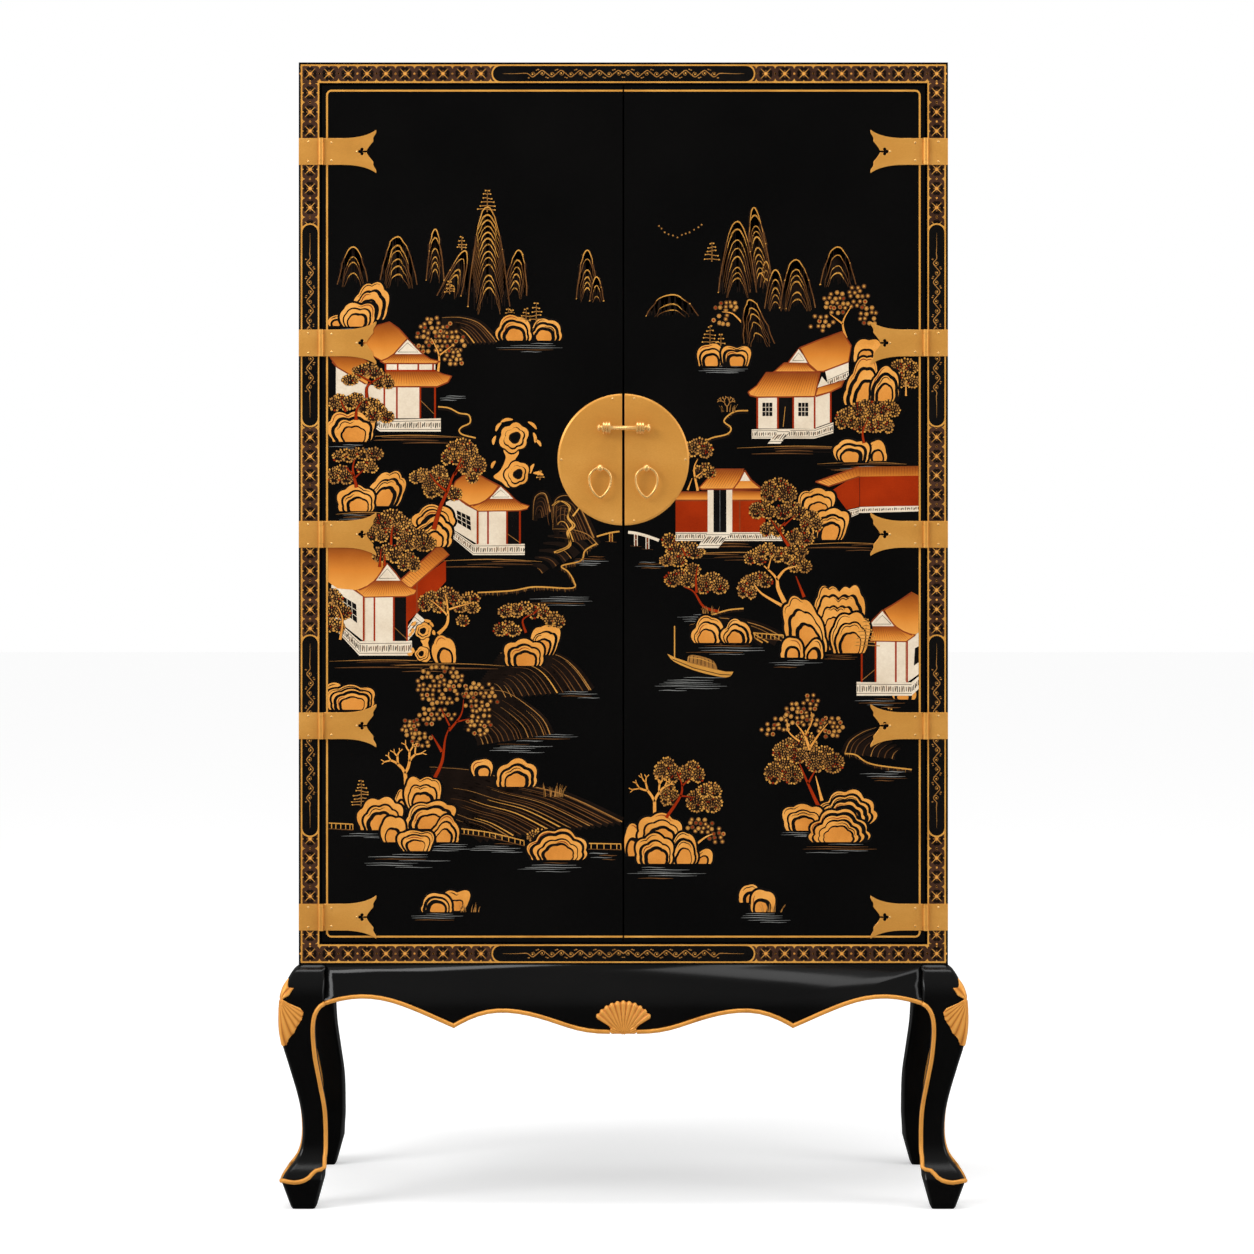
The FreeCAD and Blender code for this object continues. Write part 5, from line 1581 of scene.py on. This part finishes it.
def twisted_tree(marks, x, z, wide, tall, layer):
    """A thin gold trunk of two strands that cross, bent over at the top, with fine hanging twigs."""
    for shift in (-1, 1):
        line = smooth([(x + u * wide + shift * 1.8 * math.cos(7 * v), z + v * tall) for u, v in SPINE], 5)
        marks.stroke(line, "gold", layer, 3.0, ends="last")
    marks.stroke(smooth([(x + u * wide, z + v * tall) for u, v in LIMB], 5), "gold", layer, 3.0, ends="last")
    for k in range(6):
        u = x + (-0.16 + 0.10 * k) * wide
        marks.stroke(smooth([(u, z + (0.84 - 0.02 * k) * tall), (u - 1.5, z + 0.62 * tall), (u + 1, z + 0.46 * tall)]),
                     "dim", layer - 1, 1.4, ends="last")


def pierced_rock(marks, x, z, wide, tall, layer, flip=1):
    """A tall weathered rock: two knobbly rings round holes on a bent stem, with loose flakes beside them."""

    def ring(u, v, reach, knobs, turn):
        points = []
        for k in range(6 * knobs):
            a = 2 * math.pi * k / (6 * knobs)
            out = reach * wide * (0.90 + 0.17 * abs(math.sin(knobs * a / 2 + turn)) + 0.07 * math.sin(2 * a + turn))
            points.append((x + flip * (u - 0.5) * wide + out * math.cos(a), z + v * tall + 1.06 * out * math.sin(a)))
        return points

    stem = smooth([(x + flip * (u - 0.5) * wide, z + v * tall) for u, v in STEM], closed=True)
    middle = [sum(p[k] for p in stem) / len(stem) for k in (0, 1)]
    marks.area([between(middle, p, 1.09) for p in stem], "ink", layer)
    marks.area(stem, "rock", layer + 0.4)
    for u, v, reach, knobs, turn in RINGS:
        for aside, part, bumps, paint, lift in (
                ((0, 0), reach + 0.03, knobs, "ink", 1), ((0, 0), reach, knobs, "rock", 1.3),
                ((0.01, -0.01), reach * 0.74, knobs, "ink", 1.6), ((0, 0), reach * 0.66, knobs, "rock", 1.8),
                ((0.02, 0), reach * 0.42, 3, "umber", 2), ((0.02, 0), reach * 0.32, 3, "ink", 2.3)):
            marks.area(ring(u + aside[0], v + aside[1], part, bumps, turn), paint, layer + lift)
    for u, v, turn, long in FLAKES:
        u, v, half = x + flip * (u - 0.5) * wide, z + v * tall, long * wide / 2
        du, dv = half * math.cos(turn) * flip, half * math.sin(turn)
        marks.stroke(smooth([(u - du, v - dv), (u - dv * 0.2, v + du * 0.2), (u + du, v + dv)]), "rock", layer + 1, 5.0)


# %% [markdown]
# The landscape
#
# The doors carry one scene in the old export manner: far peaks at the top, then islands with
# pavilions, trees and rocks, one below the other, and open water between them. Such a scene has no
# single viewpoint, so the composition is simply a list of places. All are in millimetres from the
# cabinet's middle and from the floor. Far things get low layers, near things high ones. The lists
# are texts that small helpers read: a semicolon ends a row, and a comma joins x and height.

# %% Places of the motifs


def rows(text):
    """Rows of numbers."""
    return [json.loads("[" + ",".join(row.split()) + "]") for row in text.split(";")]


def route(text):
    """Points, each with its numbers joined by commas."""
    return [tuple(map(int, word.split(","))) for word in text.split()]


# x, height of the top and the foot, half width, layer, lean
MOUNTAINS = rows("""
-425 1510 1446 24 0 0; -355 1526 1444 30 0 0.02; -296 1538 1451 14 0 0; -249 1504 1427 19 0 -0.35; -164 1505
1427 19 0 -0.1; -214 1573 1403 33 8 0.02; -57 1505 1422 17 0 0; -42 1463 1422 11 4 0; 76 1435 1399 41 0 0; 224
1487 1443 9 0 0; 239 1474 1408 17 4 0; 205 1572 1427 19 0 0.1; 179 1550 1429 30 4 0; 271 1490 1408 28 8 0.04;
337 1510 1446 28 0 0; 199 1427 1352 24 16 0.2""")
# x, foot, width, height, lean, layer
ROCKS = rows("""
-400 1396 53 60 0.15 2; -419 1385 50 39 0.1 6; -452 1386 22 17 0 5; -122 1363 49 33 0 3; -172 1363 58 36 0 5;
-428 1204 69 49 0 50; -379 1103 53 57 0.3 3; -420 1095 61 38 0 6; -299 1070 60 35 0.1 20; -304 1039 63 42 0.25
23; -280 857 38 42 -0.1 36; -128 869 44 50 0.2 4; -156 852 60 42 0 6; -430 783 72 39 0.1 3; -456 799 31 27 0 2;
-222 679 35 25 0 12; -169 662 63 41 0.1 13; -315 623 53 60 0 30; -350 623 19 35 0 28; -384 594 66 52 0.1 30;
-310 596 69 44 0.35 34; -361 575 38 42 0 36; -282 575 47 35 0.15 36; -326 561 50 35 0 40; -104 547 86 47 0.05
30; -269 467 41 35 0.3 3; -293 465 50 27 0 6; 177 1323 44 33 0 6; 137 1323 44 33 0 4; 379 1330 41 36 0.2 34; 375
1262 60 68 0.1 38; 409 1268 47 49 0.1 42; 398 1174 33 30 0 4; 359 1172 53 36 0 6; 301 1086 55 46 0.1 38; 321
1050 52 52 0.2 42; 340 877 72 116 0 26; 293 874 66 82 -0.25 30; 354 872 60 64 0.1 34; 134 888 52 39 0 8; 178 888
44 36 0 10; 299 863 30 27 0.1 42; 265 865 38 28 0 44; 351 604 85 50 0.05 26; 282 593 61 42 0 28; 339 575 91 47 0
32; 57 574 69 44 0 20; 125 541 28 22 0.2 20; 16 553 31 50 0 18; 92 541 47 46 0.1 24; 49 541 60 44 0 28; 199 480
35 27 0 3; 219 465 41 33 0 6; 442 799 35 19 0 3""")
# x, height, width, strokes
WATERS = rows("""
-427 1381 79 3; -147 1358 126 5; -269 1276 53 3; -427 1199 94 4; -405 1089 110 4; -48 1023 63 5; -100 960 141 5;
-60 811 104 4; -123 744 126 4; -166 729 141 5; -406 588 94 3; -339 555 173 7; -273 571 110 4; -194 572 110 5;
-119 542 141 5; -32 557 63 4; -288 462 116 4; 158 1322 97 4; 381 1165 126 4; 120 932 79 4; 155 883 157 5; 266
860 110 4; 340 869 94 3; 104 833 151 7; 403 800 94 5; 411 685 94 5; 277 590 79 3; 340 571 135 5; 70 535 141 6;
222 462 119 5; 42 1015 63 4""")
# x, height, width
GROUNDS = rows("""
-335 1213 173; -214 1018 173; -405 1092 94; -383 860 204; -273 854 173; 273 1196 189; 375 1171 141; 175 1029
204; 348 1044 141; 175 1050 94""")
# x, foot, width, height
GRASSES = rows("""
-112 646 47 22; -240 465 31 16; 233 465 31 16; 139 934 28 13; 164 1251 25 13""")
# x, height
BIRDS = rows("""
56 1543; 60 1539; 65 1533; 71 1530; 78 1528; 85 1525; 92 1529; 98 1531; 104 1533; 111 1537; 118 1541; 123 1545""")
# x, foot, height, layer
PINES = rows("""
-214 1565 35 9; -412 629 44 8; -153 1392 22 8; -137 1392 31 8; -181 1396 19 4; 136 1356 31 8; 153 1355 19 8; 419
758 28 3; -254 1505 22 3; -273 1436 22 3; 139 1487 31 3; 381 880 47 36; -175 1396 16 4; -131 1144 16 8""")
# crest from the far end to the shore, low corner, how many arcs
HILLS = [
    (route("-285,1399 -254,1399 -225,1389 -199,1361"), (-288, 1356), 10),
    (route("-194,872 -119,871 -93,863 -71,843 -51,814"), (-241, 795), 15),
    (route("-229,814 -186,811 -150,789 -126,767 -115,744"), (-260, 720), 14),
    (route("-304,693 -233,687 -167,668 -89,648 -2,607"), (-288, 566), 22),
    (route("-112,1067 -81,1066 -56,1058 -40,1042"), (-163, 971), 6),
    (route("104,916 152,927 214,915 262,890"), (104, 883), 6),
    (route("397,755 375,747 356,733 348,714"), (453, 701), 7),
    (route("-142,1081 -139,1116 -123,1122 -115,1094"), (-134, 1078), 5),
    (route("-111,1066 -106,1113 -76,1113 -46,1053"), (-100, 1042), 9),
]
# bank line, length of its fringe
SHORES = [
    (route("-229,967 -175,970 -139,976 -81,974 -78,985 -87,1000 -97,1009 -67,1017 -60,1033 -42,1044"), 7),
    (route("-291,1259 -274,1257 -258,1249 -243,1246 -241,1234 -254,1227 -258,1221 -252,1215 -232,1210"), 2),
    (route("109,1191 123,1201 139,1210 163,1216 169,1226 158,1237 174,1251 196,1253"), 2),
    (route("123,926 145,934 167,940 189,942"), 3),
    (route("348,714 365,712 381,701 403,695 453,689"), 7),
]
# line of the posts' feet, height
FENCES = [
    (route("-463,596 -425,594"), 9),
    (route("-255,588 -210,582 -156,569"), 8),
    (route("-57,564 -4,563"), 9),
    (route("202,896 238,893 274,891"), 8),
    (route("2,563 16,560"), 9),
]
# plan, x and foot of its first corner, width, height, layer, 1 or -1 for mirrored
BUILDINGS = [
    (TOWER, -408, 1220, 138, 174, 14, 1), (HALL, -280, 1026, 132, 132, 12, 1), (WING, -368, 891, 97, 151, 12, 1),
    (WIDE_HALL, -460, 868, 135, 176, 14, 1), (VILLA, 196, 1201, 162, 176, 14, 1), (GATE, 82, 1037, 168, 124, 16, 1),
    (WALL, 302, 1081, 163, 85, 12, 1), (HALL, 500, 805, 141, 163, 14, -1),
]
# x, foot, height, layer, seed, paint
BARE_TREES = [(-343, 654, 85, 28, 4, "rock"), (49, 613, 75, 16, 9, "rock"), (163, 1251, 25, 8, 12, "leaf")]

# %% Places of the trees
# layer and kind of leaves: paint, width and points of each trunk: x, height, width, height of each pad
TREES = """
46 pad : red 5 -403,1273 -403,1289 -394,1298 -376,1308 / red 3 -395,1297 -411,1306 -422,1311 : -401,1315,47,25
  -430,1301,24,17 -376,1298,31,24 ;
52 pad : red 5 -420,1238 -419,1254 -411,1267 / red 3 -436,1251 -442,1264 -445,1271 : -445,1265,33,27
  -420,1267,38,28 -398,1260,44,24 -383,1246,42,28 ;
8 pad : red 5 -419,1132 -425,1160 -422,1177 / red 3 -423,1150 -438,1166 / red 3 -422,1147 -408,1160 :
  -439,1182,31,22 -417,1185,35,20 -392,1185,25,19 -403,1165,31,22 -444,1152,39,31 ;
28 pad : red 7 -298,1066 -288,1100 -277,1125 -265,1155 -252,1166 / red 4 -277,1125 -295,1141 -304,1154 / red 4
  -265,1152 -254,1179 : -254,1194,47,31 -271,1180,28,27 -238,1171,41,41 -317,1149,38,25 -291,1139,46,53
  -265,1122,24,19 -238,1147,19,16 ;
24 pad : red 4 -365,1042 -364,1062 -361,1072 / red 4 -383,1007 -381,1033 / red 4 -375,1009 -375,1028 :
  -364,1078,60,38 -387,1058,35,25 -346,1064,38,28 -326,1048,60,35 -370,1028,44,31 -337,1015,33,31 ;
40 pad : rock 4 -445,893 -441,924 -449,946 : -456,960,31,25 -449,938,41,28 -455,915,35,22 ;
38 pad : rock 6 -291,902 -277,918 -276,942 -280,965 / rock 3 -276,940 -257,946 -235,952 / rock 3 -276,931
  -291,946 -304,956 : -301,952,41,35 -277,962,38,28 -246,945,41,22 -241,959,28,19 -251,923,20,17 ;
14 pad : red 4 -153,904 -158,924 -141,934 / red 3 -141,934 -131,943 : -178,938,38,22 -156,942,38,22
  -131,937,35,25 -108,924,28,25 -183,910,42,25 ;
4 discs : rock 4 -291,1314 -290,1341 -302,1367 / rock 3 -290,1339 -269,1355 : -295,1380,53,41 -273,1358,53,44
  -317,1361,35,35 -265,1336,35,25 ;
16 discs : red 6 -298,673 -285,701 -280,736 -273,756 / red 5 -285,717 -301,744 / red 4 -274,750 -255,775
  -251,799 / red 3 -262,764 -241,769 / red 3 -273,758 -287,786 : -287,821,79,63 -225,803,57,47 -227,762,41,41
  -335,755,31,28 -318,736,35,25 -295,772,63,31 ;
6 discs : rock 4 350,1367 345,1392 359,1418 / rock 3 345,1389 324,1405 : 312,1389,38,31 334,1422,41,38
  365,1432,44,38 384,1402,31,31 ;
46 pad : red 4 378,1202 376,1220 384,1238 : 353,1240,36,36 381,1254,44,31 417,1256,35,28 383,1231,38,28
  409,1231,30,28 ;
26 pad : rock 4 117,1127 111,1160 117,1177 / rock 3 112,1147 125,1157 / rock 3 101,1128 108,1147 :
  119,1194,41,33 128,1158,30,24 95,1183,22,22 ;
46 pad : red 5 260,1040 246,1064 254,1078 / red 3 252,1072 271,1089 / red 3 246,1062 230,1084 : 243,1127,53,41
  219,1097,39,31 263,1095,49,31 295,1078,31,35 233,1067,35,25 277,1055,42,28 ;
12 pad : red 5 150,937 126,945 111,968 95,976 / red 4 115,967 114,990 117,1009 / red 3 98,1025 92,1037 :
  73,1048,25,22 97,1034,57,27 78,1018,42,22 109,1003,24,19 90,989,46,30 139,981,47,35 ;
22 pad : rock 8 262,935 244,971 240,990 221,1009 / rock 5 241,987 254,1003 274,1009 / rock 5 252,945 218,965
  205,981 / rock 3 227,1003 233,1025 / red 5 284,960 271,993 : 207,1022,35,25 227,1033,35,24 249,1025,28,25
  273,1034,35,22 276,1011,35,28 194,974,28,35 214,987,38,25 ;
20 pad : red 6 307,630 290,667 277,698 / red 4 290,667 302,689 : 262,717,52,41 251,685,55,41 315,704,55,44
  285,733,38,31 ;
22 discs : rock 5 312,640 302,679 / rock 5 293,720 284,744 271,761 / rock 4 293,723 307,744 321,761 / rock 3
  277,733 260,748 257,767 / rock 3 285,742 296,764 295,780 : 296,795,24,25 271,778,39,35 249,764,31,31
  229,753,25,24 326,756,42,35 299,764,35,25 ;
14 pad : red 5 67,613 89,646 92,665 84,685 / red 3 89,648 112,645 / red 3 92,663 106,676 : 68,687,41,41
  108,684,36,35 73,649,28,38 128,641,53,41 137,657,35,25 ;
16 discs : rock 4 108,566 128,582 141,588 : 120,601,41,25 147,585,28,28 ;
4 discs : rock 3 191,1386 172,1405 155,1408 : 163,1416,38,19 155,1396,28,19 ;
8 pad : rock 3 444,1276 444,1301 : 442,1323,38,25 444,1301,38,28 ;
12 pad : rock 3 -131,569 -131,582 : -130,585,41,22
"""
LEAVES = {"pad": pad, "discs": discs}


def tree_of(text):
    """Layer, leaves, trunks and pads of a tree."""
    head, trunks, pads = text.split(":")
    layer, kind = head.split()
    trunks = [trunk.split(None, 2) for trunk in trunks.split("/")]
    return int(layer), LEAVES[kind], [(paint, int(width), route(line)) for paint, width, line in trunks], route(pads)


trees = [tree_of(text) for text in TREES.split(";")]
print("trees:", len(trees), "rocks:", len(ROCKS), "mountains:", len(MOUNTAINS), "buildings:", len(BUILDINGS))

# %% [markdown]
# Painting the doors
#
# Each motif goes to the door that its place is on. The seed of a motif is its row, so that no two
# trees are the same and every run gives the same picture.

# %% Land and water


def door_at(place):
    """The marks of the door that holds an x, or the second point of a line."""
    return doors_art[-1 if (place[1][0] if isinstance(place, list) else place) < 0 else 1]


def paint_all(draw, table):
    """Draws every row of a table, with its number as the seed."""
    for seed, row in enumerate(table):
        draw(door_at(row[0]), *row, seed)


paint_all(mountain, MOUNTAINS)
paint_all(hill, HILLS)
paint_all(water, WATERS)
paint_all(ground, GROUNDS)
paint_all(shore, SHORES)
for line, tall in FENCES:
    fence(door_at(line), line, tall)
paint_all(rock, ROCKS)
print("land painted")

# %% Buildings, trees and small things
for layer, leaf, trunks, pads in trees:
    tree(door_at(pads[0][0]), layer, leaf, trunks, pads, pads[0][1])
for steps, x, *rest in BUILDINGS:
    building(door_at(x), steps, x, *rest)
paint_all(grass, GRASSES)
for x, z in BIRDS:
    doors_art[1].dot(x, z, 1.4, "leaf", 2)
for x, *rest in BARE_TREES:
    bare_tree(door_at(x), x, *rest)
paint_all(pine, PINES)
left_art, right_art = doors_art[-1], doors_art[1]
pierced_rock(left_art, -172, 1132, 80, 106, 10)
pierced_rock(left_art, -314, 858, 44, 66, 32, -1)
twisted_tree(left_art, -107, 1030, 66, 92, 14)
bridge(left_art, -42, -1.5, 1055, 8, -1, "gold", 2.4, [(5, 14)])
bridge(right_art, 1.5, 56, 1049, 13, 1, "cream", 4.4, [(3, 20), (6, 20)])
boat(right_art, 121, 850, 104, 8)
left_art.finish()
right_art.finish()
